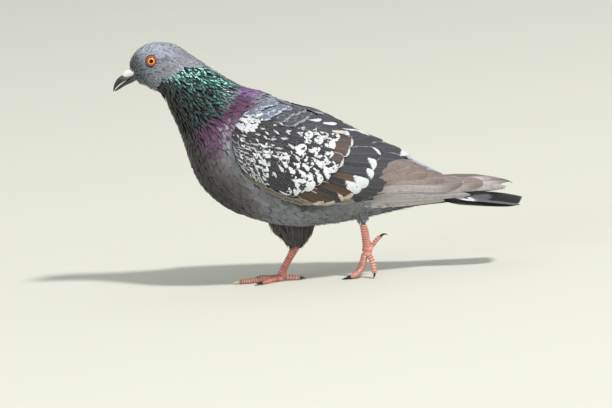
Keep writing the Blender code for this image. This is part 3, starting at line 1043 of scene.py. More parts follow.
@dataclass
class BodyCoat:
    """The contour feathers of head, neck, trunk and vent."""

    body: BodyForm
    wings: WingForm
    marks: Markings
    head: CoatRegion = field(default_factory=lambda: CoatRegion(
        (0.25, 7.6), 1.35, 1.25, (3.0, 5.6), (1.5, 2.7), 1.0, (0.0, 0.25), SCALE_SHAPE))
    neck: CoatRegion = field(default_factory=lambda: CoatRegion(
        (4.6, 11.0), 1.3, 1.5, (4.6, 9.0), (1.4, 2.8), 1.6, (0.1, 0.7), HACKLE_SHAPE, 0.16))
    trunk: CoatRegion = field(default_factory=lambda: CoatRegion(
        (10.3, 18.0), 2.9, 1.15, (9.0, 14.0), (5.0, 7.0), 1.9, (0.0, 0.5), SCALE_SHAPE))
    vent: CoatRegion = field(default_factory=lambda: CoatRegion(
        (15.3, 17.9), 2.0, 1.0, (6.0, 9.0), (1.3, 0.9), 1.7, (0.0, 1.7), TUFT_SHAPE, 0.2))
    eye: Point3 = (-121.2, 9.6, 176.9)
    eye_room: float = 3.9
    belly: float = 2.35

    def lay(self, region: CoatRegion, seed: int, swirl: float = 0.14) -> tuple[Feathers, Array]:
        """Scatter one region's feathers.

        Args:
            region: What grows there.
            seed: Seed of the scatter.
            swirl: Spread of the lie, in radians.

        Returns:
            The feathers without colours, and their roots.
        """
        rng = np.random.default_rng(seed)
        start = Scatter(self.body, region.places, (-math.pi, math.pi), seed).spots(region.pitch, region.sparse)
        share = (start[:, 0] - region.places[0]) / (region.places[1] - region.places[0])
        length = between(region.length, share) * rng.uniform(0.85, 1.15, len(share))
        width = between(region.width, share) * rng.uniform(0.88, 1.12, len(share))
        end = lie(self.body, start, length, rng.normal(0.0, swirl, len(share)))
        proud = rng.uniform(*region.proud, len(share))
        sunk = np.full(len(share), region.depth)
        blank = np.zeros((len(share), 3))
        return Feathers(start, end, width, sunk, proud, blank, blank, blank, camber=region.camber), start

    def kept(self, region: CoatRegion, batch: Feathers, start: Array) -> Array:
        """Which feathers stay: none over an eye, none under a wing, and each only on its own side of the neck line.

        Args:
            region: What grows there.
            batch: The feathers.
            start: Their roots.

        Returns:
            One true or false for each feather.
        """
        middle = (batch.start + batch.end) / 2
        at = self.body.point(middle[:, 0], middle[:, 1])
        eye = np.array(self.eye)
        keep = np.linalg.norm(np.abs(at[:, ::2]) - np.abs(eye[::2]), axis=1) > self.eye_room
        covered = self.wings.covered.astype(float)
        under = self.wings.height(batch.end[:, 0], batch.end[:, 1], covered) > 0.6
        inside = self.wings.height(start[:, 0], start[:, 1], covered) > 0.3
        keep &= ~(under & inside)
        x, z, _ = self.marks.seen(start)
        if region is self.vent:
            keep &= np.abs(batch.start[:, 1]) > self.belly
        elif region is self.head:
            keep &= self.marks.below(self.marks.green_top, x, z, 0.5) < 0.9
        elif region is self.neck:
            keep &= self.marks.below(self.marks.green_top, x, z - 4.0, 0.5) > 0.1
        return keep

    def build(self) -> tuple[list[bpy.types.Object], Array, Array]:
        """Make the coats of head, neck, trunk and vent.

        Returns:
            The pieces, and every feather's root in space with its colour.
        """
        pieces, roots, tints = [], [], []
        shimmer = FeatherFinish("neck plumage", roughness=0.36, metallic=0.25, sheen=0.0, coat=0.2, barbs=0.5)
        jobs = (
            ("coat_head", self.head, self.marks.head, "head_feathers", 11, 0.1, FeatherFinish("head plumage")),
            ("coat_neck", self.neck, self.marks.neck, "neck_feathers", 12, 0.16, shimmer),
            ("coat_trunk", self.trunk, self.marks.trunk, "body_feathers", 13, 0.12,
             FeatherFinish("body plumage", sheen=0.04)),
            ("coat_vent", self.vent, self.marks.vent, "body_feathers", 14, 0.4,
             FeatherFinish("wispy plumage", sheen=0.0)),
        )
        for name, region, marks, slot, seed, swirl, finish in jobs:
            batch, start = self.lay(region, seed, swirl)
            batch.ground, batch.edge, batch.plan = marks(start, np.random.default_rng(seed + 100))
            keep = self.kept(region, batch, start)
            batch = batch.chosen(keep)
            maker = VaneMaker(name, BakeMap.PATCH)
            maker.add(self.body, batch, region.shape, seed)
            mesh = maker.mesh()
            mesh.materials.append(finish.material())
            pieces.append(link(name, mesh, slot))
            roots.append(self.body.point(batch.start[:, 0], batch.start[:, 1]))
            tints.append(batch.ground)
        return pieces, np.concatenate(roots), np.concatenate(tints)


@dataclass(frozen=True)
class Look:
    """How one wing feather is coloured."""

    ground: Array
    edge: Array
    fringe: float = 0.12
    pale: float = 0.0
    slant: float = 0.0
    blot: float = 0.0


@dataclass
class WingRow:
    """One row of wing feathers, from the top of the wing to its lower edge."""

    tips: tuple[Point2, ...]
    count: int
    length: Point2
    width: Point2
    slope: Point2
    lift: float
    looks: tuple[Look, ...]
    shape: VaneShape = COVERT_SHAPE
    jitter: float = 0.6
    sunk: float = 0.9


SLATE_LOOK = Look(Plumage.SLATE, Plumage.BUFF, 0.08)
WHITE_TIP = Look(Plumage.SLATE, Plumage.WHITE, 0.05, 0.2, -0.3)
THIN_TIP = Look(Plumage.SLATE, Plumage.WHITE, 0.03, 0.07, -0.5)
LONG_WHITE = Look(Plumage.CHARCOAL, Plumage.WHITE, 0.1, 0.46, -0.5, 0.3)
SHORT_WHITE = Look(Plumage.CHARCOAL, Plumage.WHITE, 0.04, 0.24, -0.6, 0.5)
UMBER_WHITE = Look(Plumage.UMBER, Plumage.WHITE, 0.1, 0.42, -0.4, 0.2)
UMBER_BUFF = Look(Plumage.UMBER * 0.7, Plumage.BUFF, 0.1, 0.17, 0.7, 0.1)
BLACK_BUFF = Look(Plumage.CHARCOAL, Plumage.BUFF, 0.06, 0.15, -0.7, 0.1)
HALF_WHITE = Look(Plumage.CHARCOAL, Plumage.WHITE, 0.1, 0.3, -1.1, 0.7)
BROWN_EDGED = Look(Plumage.UMBER * 0.8 + Plumage.SLATE * 0.3, Plumage.WHITE * 0.8, 0.12, 0.09, 0.3, 0.2)
CHEQUER = Look(Plumage.CHARCOAL, Plumage.WHITE, 0.0, 0.24, 1.6, 1.0)
CHEQUER_TWIN = Look(Plumage.CHARCOAL, Plumage.WHITE, 0.0, 0.24, -1.6, 1.0)
FRINGED = Look(Plumage.CHARCOAL, Plumage.WHITE * 0.7, 0.06, 0.12, 1.6, 0.5)
DARK = Look(Plumage.CHARCOAL, Plumage.ASH, 0.05)
DARK_WEDGE = Look(Plumage.CHARCOAL, Plumage.WHITE * 0.8, 0.0, 0.14, -1.5, 0.5)
MOSTLY_WHITE = Look(Plumage.CHARCOAL, Plumage.WHITE, 0.1, 0.46, 1.0, 0.8)
ALL_WHITE = Look(Plumage.WHITE * 0.9, Plumage.WHITE, 0.1)
STREAKED = Look(Plumage.CHARCOAL, Plumage.WHITE, 0.3, 0.3, 0.6, 1.0)
PALE_EDGE = Look(Plumage.SLATE, Plumage.RUMP * 0.6, 0.06)
SOFT_EDGE = Look(Plumage.SLATE * 1.2, Plumage.ASH, 0.12, 0.05, 0.9, 0.6)
ASH_EDGE = Look(Plumage.MANTLE * 1.2, Plumage.RUMP, 0.14, 0.1, 0.9, 0.8)
BEIGE_LOOK = Look(Plumage.BEIGE * 0.8, Plumage.BUFF * 0.9, 0.2)
HEM_LOOK = Look(Plumage.BEIGE * 0.42, Plumage.BUFF * 0.55, 0.3)
STRIPE = Look(Plumage.CHARCOAL, Plumage.WHITE * 0.9, 0.28, 0.05)
WHITE_SIDE = Look(Plumage.SLATE, Plumage.WHITE * 0.95, 0.0, 0.16, 1.9, 0.15)
BUFF_SIDE = Look(Plumage.SLATE, Plumage.BUFF * 1.1, 0.0, 0.16, 1.9, 0.15)


@dataclass
class Wing:
    """One folded wing's coverts, scapulars, tertials and secondaries."""

    form: WingForm
    side: Side
    seed: int
    arc: tuple[Point2, ...] = ((26.7, 109.7), (24.3, 103.6), (20.6, 98.1), (16.0, 91.7), (9.0, 85.3), (2.2, 79.6),
                               (-7.2, 74.5), (-22.0, 71.5))
    bend: tuple[Point2, ...] = ((-46.5, 134.0), (-54.0, 127.0), (-59.0, 119.5), (-61.0, 113.0), (-61.0, 106.0),
                                (-58.5, 98.0), (-54.5, 90.5), (-47.5, 83.0))
    patches: tuple[tuple[tuple[float, float, float, float], Look], ...] = (
        ((-27.0, 80.0, 10.0, 6.5), DARK), ((-47.0, 86.0, 7.0, 5.5), DARK_WEDGE), ((-8.0, 81.0, 8.0, 5.0), MOSTLY_WHITE),
        ((-31.0, 92.0, 5.0, 5.0), DARK), ((1.0, 114.0, 10.0, 4.0), MOSTLY_WHITE))
    arc_steps: tuple[float, ...] = (0.0, 0.125, 0.245, 0.36, 0.47, 0.57, 0.66, 0.74, 0.81, 0.87, 0.925, 0.975)

    def rear_rows(self) -> list[WingRow]:
        """Secondaries, tertials and greater coverts, the lowest layer first.

        Returns:
            The rows.
        """
        secondaries = WingRow(((69.0, 92.4), (65.6, 87.6), (60.0, 83.0), (54.2, 78.2), (50.6, 72.6), (44.0, 67.8),
                               (35.0, 64.4), (22.0, 61.0)), 10, (44.0, 34.0), (15.0, 11.0), (12.0, 16.0), 0.5,
                              (Look(Plumage.SLATE, Plumage.WHITE, 0.08, 0.2, 0.3), SLATE_LOOK, SLATE_LOOK, SLATE_LOOK,
                               SLATE_LOOK, SLATE_LOOK, Look(Plumage.SLATE * 0.9, Plumage.TAUPE, 0.1),
                               Look(Plumage.SLATE * 0.9, Plumage.TAUPE, 0.1), DARK, BEIGE_LOOK), FLIGHT_SHAPE)
        coverts = WingRow(((45.6, 105.4), (46.6, 99.0), (44.8, 92.0), (41.0, 86.0), (38.8, 79.4), (33.8, 73.0),
                           (25.0, 67.8), (12.8, 63.4), (-2.6, 63.6)), 10, (30.0, 24.0), (13.5, 12.0), (6.0, 34.0),
                          0.9, (THIN_TIP, THIN_TIP, WHITE_TIP, WHITE_TIP, UMBER_WHITE, LONG_WHITE, UMBER_BUFF,
                                BLACK_BUFF, UMBER_BUFF, UMBER_BUFF))
        hem = WingRow(((11.5, 61.6), (-4.0, 62.8), (-16.0, 64.6), (-27.0, 69.4), (-38.0, 76.6), (-50.0, 85.0)), 9,
                      (19.0, 13.0), (6.0, 4.0), (6.0, 34.0), 1.0, (BEIGE_LOOK,) * 3 + (HEM_LOOK,) * 6)
        return [secondaries, hem, coverts]

    def arc_rows(self) -> list[WingRow]:
        """Median and lesser coverts, the rearmost row first.

        Returns:
            The rows.
        """
        rng = np.random.default_rng(self.seed)
        arc, bend = np.array(self.arc), np.array(self.bend)
        rows = []
        for number, step in enumerate(self.arc_steps):
            tips = arc + (bend - arc) * step
            reach = float(np.linalg.norm(np.diff(tips, axis=0), axis=1).sum())
            width = 12.0 - 8.8 * step ** 0.7
            length = 19.0 - 11.0 * step ** 0.8
            count = max(int(reach / (width * 0.6)), 6)
            spots = np.stack([np.interp((np.arange(count) + 0.5) / count, np.linspace(0, 1, len(tips)), tips[:, axis])
                              for axis in (0, 1)], -1)
            rows.append(WingRow(tuple(map(tuple, tips)), count, (length, length * 0.95), (width, width * 0.95),
                                (12.0 + 20 * step, 36.0 + 22 * step), 1.1, self.arc_looks(step, spots, rng),
                                COVERT_SHAPE if number < 5 else LESSER_SHAPE, 1.3 - 0.5 * step))
        return rows

    def arc_looks(self, step: float, spots: Array, rng: np.random.Generator) -> tuple[Look, ...]:
        """Colours of one covert row.

        Args:
            step: 0 for the rearmost row, 1 at the bend.
            spots: Where its feathers' tips show.
            rng: Source of the chequers' differences.

        Returns:
            One look for each feather.
        """
        looks = []
        for number, (x, z) in enumerate(spots):
            down = number / max(len(spots) - 1, 1)
            draw = rng.random()
            patch = next((look for (px, pz, width, height), look in self.patches
                          if ((x - px) / width) ** 2 + ((z - pz) / height) ** 2 < 1.0), None)
            if patch is not None:
                look = patch
            elif step < 0.05 and down < 0.28:
                look = BROWN_EDGED
            elif step < 0.05:
                look = CHEQUER if draw < 0.3 else LONG_WHITE if draw < 0.6 else SHORT_WHITE
            elif step < 0.3 and down < 0.25:
                look = MOSTLY_WHITE if draw < 0.6 else CHEQUER
            elif step < 0.45 or (step < 0.84 and down > 0.5):
                look = (CHEQUER, CHEQUER_TWIN, HALF_WHITE, DARK_WEDGE, MOSTLY_WHITE, CHEQUER)[int(draw * 6)]
            elif step > 0.84 and down < 0.27:
                look = ALL_WHITE if draw < 0.75 else STREAKED
            elif step > 0.84 and down > 0.4:
                look = STRIPE if draw < 0.45 else FRINGED if draw < 0.88 else CHEQUER
            elif down < 0.4:
                look = (FRINGED, DARK_WEDGE, DARK)[int(draw * 3)]
            else:
                look = (FRINGED, CHEQUER, DARK_WEDGE, CHEQUER_TWIN)[int(draw * 4)]
            looks.append(look)
        return tuple(looks)

    def scapular_rows(self) -> list[WingRow]:
        """Scapulars that cover the wing's top, the rearmost row first.

        Returns:
            The rows.
        """
        striped = Look(Plumage.SLATE, Plumage.WHITE, 0.1, 0.3, -1.4)
        rows = []
        lines = (
            (((50.0, 101.5), (45.0, 106.0)), 2, (26.0, 24.0), 11.0, PALE_EDGE),
            (((42.0, 107.0), (33.6, 110.0), (20.5, 110.8)), 4, (27.0, 24.0), 11.0, striped),
            (((30.0, 113.0), (20.0, 115.5), (8.0, 114.5)), 4, (23.0, 20.0), 11.0, PALE_EDGE),
            (((18.0, 119.0), (8.0, 121.5), (-4.0, 118.6)), 4, (20.0, 18.0), 10.5, PALE_EDGE),
            (((6.0, 125.0), (-4.0, 127.0), (-15.0, 122.5)), 5, (18.0, 16.0), 9.0, SOFT_EDGE),
            (((-6.0, 130.0), (-15.0, 130.0), (-25.0, 126.0)), 5, (16.0, 14.0), 8.0, SOFT_EDGE),
            (((-17.0, 134.0), (-26.0, 133.0), (-36.0, 129.0)), 6, (14.0, 12.0), 6.5, ASH_EDGE),
            (((-27.0, 137.5), (-36.0, 136.0), (-46.0, 132.5)), 6, (12.0, 10.0), 5.5, ASH_EDGE),
        )
        for tips, count, length, width, look in lines:
            rows.append(WingRow(tips, count, length, (width, width * 0.9), (20.0, 14.0), 1.5, (look,) * count,
                                jitter=0.7))
        for tips, length, look in (((33.0, 111.5), 24.0, WHITE_SIDE), ((20.5, 112.0), 24.0, BUFF_SIDE),
                                   ((3.0, 123.0), 14.0, WHITE_SIDE), ((14.0, 119.0), 18.0, WHITE_SIDE)):
            rows.append(WingRow((tips, (tips[0] + 0.1, tips[1])), 1, (length, length), (6.0, 6.0), (19.0, 19.0), 2.6,
                                (look,), jitter=0.1, sunk=-0.9))
        return rows

    def row_batch(self, row: WingRow, rng: np.random.Generator, height: float) -> Feathers:
        """Place one row on the wing.

        Args:
            row: The row.
            rng: Source of small differences.
            height: How far its tips stand over the wing.

        Returns:
            The feathers.
        """
        tips = np.array(row.tips)
        run = np.concatenate(((0.0,), np.cumsum(np.linalg.norm(np.diff(tips, axis=0), axis=1))))
        share = (np.arange(row.count) + 0.5) / row.count
        target = share * run[-1]
        tip = np.stack([np.interp(target, run, tips[:, axis]) for axis in (0, 1)], -1)
        tip += rng.normal(0.0, row.jitter * 0.5, tip.shape)
        length = between(row.length, share) * rng.uniform(0.95, 1.05, row.count)
        slope = np.radians(between(row.slope, share) + rng.normal(0, 1.5, row.count))
        root = tip - length[:, None] * np.stack((np.cos(slope), -np.sin(slope)), -1)
        width = between(row.width, share) * rng.uniform(0.96, 1.04, row.count)
        start, end = self.form.locate(root), self.form.locate(tip)
        sign = float(self.side.value)
        start[:, 1] *= sign
        end[:, 1] *= sign
        fringe, pale, slant, blot = np.array([(look.fringe, look.pale, look.slant, look.blot)
                                              for look in row.looks]).T
        rise = height * (0.25 + 0.75 * ease(0.1, 0.7, np.abs(end[:, 1])))
        if self.side is Side.RIGHT:
            rise = rise - 1.8 * ease(0.8, 0.3, np.abs(end[:, 1]))
        return Feathers(
            start, end, width, np.full(row.count, row.sunk), rise + 0.1 * (share - 0.5),
            np.array([look.ground for look in row.looks]) * rng.uniform(0.88, 1.14, (row.count, 1)),
            np.array([look.edge for look in row.looks]) * rng.uniform(0.94, 1.04, (row.count, 1)),
            rows_of(row.count, fringe, pale * rng.uniform(0.9, 1.1, row.count), slant * sign), thick=0.3, camber=0.07,
            web=rows_of(row.count, 0.0, 0.0, blot))

    def build(self) -> tuple[bpy.types.Object, Array, Array]:
        """Make the wing's feathers.

        Returns:
            The piece, and every feather's root in space with its colour.
        """
        rng = np.random.default_rng(self.seed + 5)
        maker = VaneMaker(f"wing_coat_{self.side.word}", BakeMap.CELL)
        roots, tints = [], []
        for row in [*self.rear_rows(), *self.arc_rows(), *self.scapular_rows()]:
            batch = self.row_batch(row, rng, row.lift)
            maker.add(self.form, batch, row.shape, self.seed)
            middle = (batch.start + batch.end) / 2
            roots.append(self.form.point(middle[:, 0], middle[:, 1]))
            tints.append(batch.ground)
        mesh = maker.mesh()
        mesh.materials.append(FeatherFinish("wing plumage", shaft=0.2).material())
        return link(maker.name, mesh, "wing_feathers"), np.concatenate(roots), np.concatenate(tints)


@dataclass
class Primaries:
    """One wing's long flight feathers."""

    form: WingForm
    side: Side
    seed: int
    tips: tuple[Point2, ...] = ((71.4, 81.4), (80.8, 75.6), (92.4, 70.8), (106.6, 66.6), (121.8, 64.6), (136.4, 63.4),
                                (143.4, 62.8), (139.0, 60.6), (112.0, 57.2), (92.0, 54.6))
    roots: tuple[Point2, ...] = ((36.0, 75.5), (36.0, 74.0), (36.0, 72.2), (36.5, 70.2), (37.0, 68.0), (37.5, 65.6),
                                 (38.0, 63.4), (38.4, 61.4), (30.0, 59.0), (22.0, 57.4))
    widths: tuple[float, ...] = (15.0, 15.0, 14.0, 13.0, 11.6, 9.6, 7.4, 5.4, 7.4, 7.4)
    far_drop: float = 2.4

    def build(self) -> bpy.types.Object:
        """Make the primaries, the outermost lowest.

        Returns:
            The piece.
        """
        count = len(self.tips)
        rng = np.random.default_rng(self.seed)
        maker = VaneMaker(f"primary_coat_{self.side.word}", BakeMap.CELL)
        sign = float(self.side.value)
        drop = np.array((0.0, self.far_drop if self.side is Side.RIGHT else 0.0))
        start, end = self.form.locate(np.array(self.roots)), self.form.locate(np.array(self.tips) - drop)
        start[:, 1] *= sign
        end[:, 1] *= sign
        share = np.linspace(0, 1, count)
        ground = blend(Plumage.TAUPE * 0.82, Plumage.TAUPE * 0.66, ease(0.4, 0.7, share))
        ground = ground * rng.uniform(0.94, 1.05, (count, 1))
        ground = blend(ground, Plumage.LILAC * 0.88, ease(0.72, 0.8, share))
        edge = blend(Plumage.TAUPE * 1.15, Plumage.LILAC * 1.1, ease(0.1, 0.5, share))
        # the pale web on the lower side ends in a dark rim: painted shade along each gap
        plan, web = rows_of(count, 0.09, 0.0, 0.0), rows_of(count, 0.95, sign, 0.0)
        batch = Feathers(start, end, np.array(self.widths), np.linspace(0.1, 0.6, count),
                         np.linspace(2.3, 1.1, count), ground, edge, plan, thick=0.3, camber=0.06, web=web)
        maker.add(self.form, batch, FLIGHT_SHAPE, self.seed)
        mesh = maker.mesh()
        mesh.materials.append(FeatherFinish("primary plumage", shaft=0.6, roughness=0.5).material())
        node = f"primaries_{self.side.word}"
        return link(maker.name, mesh, "primary_feathers", node)


@dataclass
class Tail:
    """The closed tail's feathers, above and below, over a solid core."""

    seed: int = 41
    per_side: int = 6
    spread: Point2 = (0.55, 0.76)    # where the outermost root and tip sit, in half widths
    width: float = 10.5
    core: tuple[tuple[Point2, Point2, float], ...] = (
        ((90.0, 66.0), (78.0, 54.0), 4.6), ((97.0, 58.6), (91.0, 51.6), 3.4), ((108.6, 54.4), (106.6, 50.6), 6.6),
        ((121.0, 54.0), (120.2, 50.2), 9.6), ((128.0, 52.8), (127.2, 49.6), 9.8), ((134.0, 51.6), (133.6, 50.0), 11.6),
        ((145.0, 49.6), (144.6, 48.6), 12.6))

    def batch(self, face: int) -> Feathers:
        """Lay one face of the tail.

        Args:
            face: 1 for the upper face, -1 for the lower one.

        Returns:
            The feathers, the outermost lowest above and highest below.
        """
        rng = np.random.default_rng(self.seed + face)
        order = np.linspace(1.0, 0.0, self.per_side)
        seats = np.concatenate([np.stack((order, -order)).T.ravel()])[:-1]
        count = len(seats)
        outer = np.abs(seats)
        start = rows_of(count, rng.uniform(0.4, 0.5, count), seats * self.spread[0])
        end = rows_of(count, 4.9 + 0.1 * face - 0.3 * outer + rng.normal(0, 0.04, count), seats * self.spread[1])
        web = Plumage.TAIL_WEB if face > 0 else Plumage.SLATE * 0.8
        ground = np.repeat(web[None, :], count, axis=0) * rng.uniform(0.92, 1.08, (count, 1))
        outermost = (outer > 0.95) & (face > 0)
        tip = np.repeat((Plumage.TAIL_TIP * (1.0 if face > 0 else 1.3))[None, :], count, axis=0)
        tip = np.where(outermost[:, None], web[None, :], tip)
        ground = np.where(outermost[:, None], Plumage.WHITE * 0.95, ground)
        plan = rows_of(count, 0.0, np.where(outermost, 0.5, 0.34), 0.0)
        height = 0.2 + 0.3 * (1 - outer) * self.per_side
        return Feathers(start, end, np.full(count, self.width), np.full(count, 0.4), height, ground, tip, plan, 0.3,
                        0.03)

    def build(self) -> None:
        """Make the tail's feathers and core."""
        maker = VaneMaker("tail_coat", BakeMap.CELL)
        for face in (-1, 1):
            maker.add(TailForm(face), self.batch(face), FLIGHT_SHAPE, self.seed)
        mesh = maker.mesh()
        mesh.materials.append(FeatherFinish("tail plumage", shaft=0.3).material())
        link("tail_coat", mesh, "tail_feathers")
        horn = HornFinish("tail core", Plumage.SLATE * 1.1, Plumage.SLATE * 1.3, coat=0.0, roughness=0.8)
        Loft("tail_core", "tail", "tail_feathers", self.core, 1.0).build(horn.material())


# --- Bare parts ------------------------------------------------------------------------------------------------------
RIGHT_THIGH = (((-22.0, 13.0, 64.0), 20.0), ((-23.4, 12.0, 44.0), 19.0), ((-23.0, 10.4, 34.0), 12.6),
               ((-23.4, 9.4, 24.2), 5.0))
LEFT_THIGH = (((20.0, -14.0, 66.0), 11.0), ((27.2, -12.0, 53.0), 7.6), ((29.8, -11.0, 43.0), 3.6))
RIGHT_TARSUS = (((-24.6, 9.3, 23.0), 3.1), ((-28.0, 9.0, 17.4), 2.6), ((-33.4, 8.4, 8.8), 2.7),
                ((-35.8, 8.0, 3.2), 3.4))
LEFT_TARSUS = (((30.0, -10.9, 41.0), 3.1), ((30.4, -10.6, 33.0), 2.8), ((31.0, -10.2, 25.6), 3.1),
               ((30.6, -10.0, 20.8), 3.4))
TOES = {
    "right": {
        "inner": (((-39.0, 5.2, 2.0), (-43.5, 1.4, 1.7), (-51.0, -5.2, 1.3)), 2.0, (-56.6, -9.6, 0.6)),
        "middle": (((-40.2, 8.0, 2.1), (-52.0, 7.6, 1.9), (-67.4, 7.0, 1.4)), 2.25, (-73.6, 6.8, 0.6)),
        "outer": (((-39.0, 10.8, 2.0), (-44.0, 15.2, 1.7), (-51.8, 22.0, 1.3)), 2.0, (-56.8, 26.0, 0.6)),
        "hind": (((-31.4, 7.4, 2.2), (-27.0, 6.6, 1.7), (-21.6, 5.4, 1.3)), 1.9, (-17.4, 4.6, 0.7)),
    },
    "left": {
        "inner": (((28.8, -7.0, 18.0), (25.9, -3.8, 9.6), (22.8, -2.2, 4.2), (19.4, -1.2, 1.4)), 1.9,
                  (13.6, 0.4, 0.6)),
        "middle": (((29.2, -10.4, 16.8), (26.8, -11.0, 9.2), (22.4, -11.4, 4.0), (17.2, -11.6, 1.6)), 2.2,
                   (9.4, -11.9, 0.6)),
        "outer": (((31.8, -12.9, 17.8), (34.2, -15.6, 11.6), (34.8, -17.2, 4.2)), 2.0, (33.6, -18.2, 0.0)),
        "hind": (((35.4, -9.6, 23.6), (38.0, -9.2, 27.4), (41.6, -9.0, 30.4)), 1.7, (47.4, -8.6, 31.2)),
    },
}
FLESH = ("head", "neck", "trunk", "wing_left", "wing_right", "thigh_left", "thigh_right", "tarsus_left",
         "tarsus_right", *(f"toe_{side}_{toe}" for side in TOES for toe in TOES[side]))


def grid_mesh(name: str, rings: Array, form: Array, material: bpy.types.Material,
              hoop: bool = False) -> bpy.types.Mesh:
    """A closed mesh from rings of points.

    Args:
        name: The mesh's name.
        rings: Points by ring and by place in the ring.
        form: Three values for each point that the finish reads.
        material: Its finish.
        hoop: Join the last ring to the first instead of closing both.

    Returns:
        The mesh.
    """
    number, corners = rings.shape[:2]
    index = np.arange(number * corners).reshape(number, corners)
    if hoop:
        index = np.concatenate((index, index[:1]))
    following = np.roll(index, -1, axis=1)
    quads = np.stack((index[:-1], following[:-1], following[1:], index[1:]), axis=-1).reshape(-1, 4)
    ends = np.array((number * corners, number * corners + 1))
    cap_a = np.stack((following[0], index[0], np.full(corners, ends[0])), -1)
    cap_b = np.stack((index[-1], following[-1], np.full(corners, ends[1])), -1)
    points = np.concatenate((rings.reshape(-1, 3), rings[0].mean(axis=0)[None], rings[-1].mean(axis=0)[None]))
    values = np.concatenate((form.reshape(-1, 3), form[0].mean(axis=0)[None], form[-1].mean(axis=0)[None]))
    if hoop:
        mesh = array_mesh(name, points[:-2], [quads])
        values = values[:-2]
    else:
        mesh = array_mesh(name, points, [quads, np.concatenate((cap_a, cap_b))])
    work = bmesh.new()
    work.from_mesh(mesh)
    bmesh.ops.recalc_face_normals(work, faces=work.faces)
    work.to_mesh(mesh)
    work.free()
    paint(mesh, "Form", values)
    mesh.shade_smooth()
    mesh.materials.append(material)
    return mesh


@dataclass
class Loft:
    """A tapering solid through slanting sections, like those of the body."""

    name: str
    node: str
    slot: str
    sections: tuple[tuple[Point2, Point2, float], ...]
    round_power: float = 1.0
    rings: int = 48
    corners: int = 40
    groove: float = 0.0
    bulge: float = 0.0

    def build(self, material: bpy.types.Material) -> bpy.types.Object:
        """Make the solid.

        Args:
            material: Its finish.

        Returns:
            The piece.
        """
        table = np.array([(*top, *bottom, width) for top, bottom, width in self.sections])
        share = np.linspace(0, 1, self.rings)
        rows = spline(table, share * (len(table) - 1))
        angle = np.linspace(0, 2 * math.pi, self.corners, endpoint=False)
        cosine, sine = np.cos(angle), np.sin(angle)
        up = np.sign(cosine) * np.abs(cosine) ** self.round_power
        side = np.sign(sine) * np.abs(sine) ** self.round_power
        around = np.minimum(angle, 2 * math.pi - angle)
        dent = 1 - self.groove * np.exp(-(around / 0.42) ** 2)
        swell = 1 + self.bulge * np.sin(math.pi * share)
        middle = (rows[:, 0:2] + rows[:, 2:4]) / 2
        half = (rows[:, 0:2] - rows[:, 2:4]) / 2
        x = middle[:, 0, None] + half[:, 0, None] * (up * dent)[None, :] * swell[:, None]
        z = middle[:, 1, None] + half[:, 1, None] * (up * dent)[None, :] * swell[:, None]
        y = rows[:, 4, None] * side[None, :] * swell[:, None]
        form = np.stack((np.broadcast_to(share[:, None], x.shape), np.broadcast_to(cosine, x.shape),
                         np.broadcast_to(sine, x.shape)), -1)
        mesh = grid_mesh(self.name, np.stack((x, y, z), -1), form, material)
        return link(self.name, mesh, self.slot, self.node)


@dataclass
class Bill:
    """Horn of the bill and the chalky cere."""

    upper: Loft = field(default_factory=lambda: Loft("upper_bill", "bill_upper", "bill_horn", (
        ((-139.4, 170.2), (-136.0, 165.2), 3.2), ((-146.4, 165.9), (-143.5, 162.1), 2.4),
        ((-149.3, 162.7), (-147.1, 160.0), 1.9), ((-150.9, 159.2), (-149.6, 157.7), 1.25),
        ((-151.5, 156.0), (-151.0, 155.4), 0.35)), 0.85))
    lower: Loft = field(default_factory=lambda: Loft("lower_bill", "bill_lower", "bill_horn", (
        ((-133.0, 168.0), (-131.4, 163.6), 3.7), ((-138.2, 164.9), (-136.6, 161.3), 3.1),
        ((-143.4, 161.5), (-142.0, 159.4), 2.1), ((-147.0, 159.3), (-146.2, 157.2), 1.4),
        ((-150.2, 156.4), (-149.7, 155.5), 0.35)), 0.85))
    cere: Loft = field(default_factory=lambda: Loft("cere_lobes", "cere", "cere", (
        ((-132.4, 170.4), (-131.6, 167.4), 6.2), ((-136.6, 172.0), (-134.8, 166.9), 5.9),
        ((-139.6, 171.8), (-137.2, 166.2), 4.7), ((-142.0, 170.4), (-138.4, 165.6), 3.8),
        ((-144.0, 168.0), (-140.2, 164.9), 2.6)), 0.9, 40, 48, 0.34, 0.05))

    def build(self) -> None:
        """Make bill and cere."""
        horn = HornFinish("bill horn", Plumage.NIGHT * 1.6, Plumage.ASH * 1.1, rim=0.5).material()
        self.upper.build(horn)
        self.lower.build(HornFinish("lower bill horn", Plumage.NIGHT * 2.0, Plumage.BEIGE, rim=0.2).material())
        self.cere.build(HornFinish("chalky cere", colour(236, 233, 228), colour(206, 186, 180), roughness=0.85,
                                   coat=0.0, grain=0.6).material())


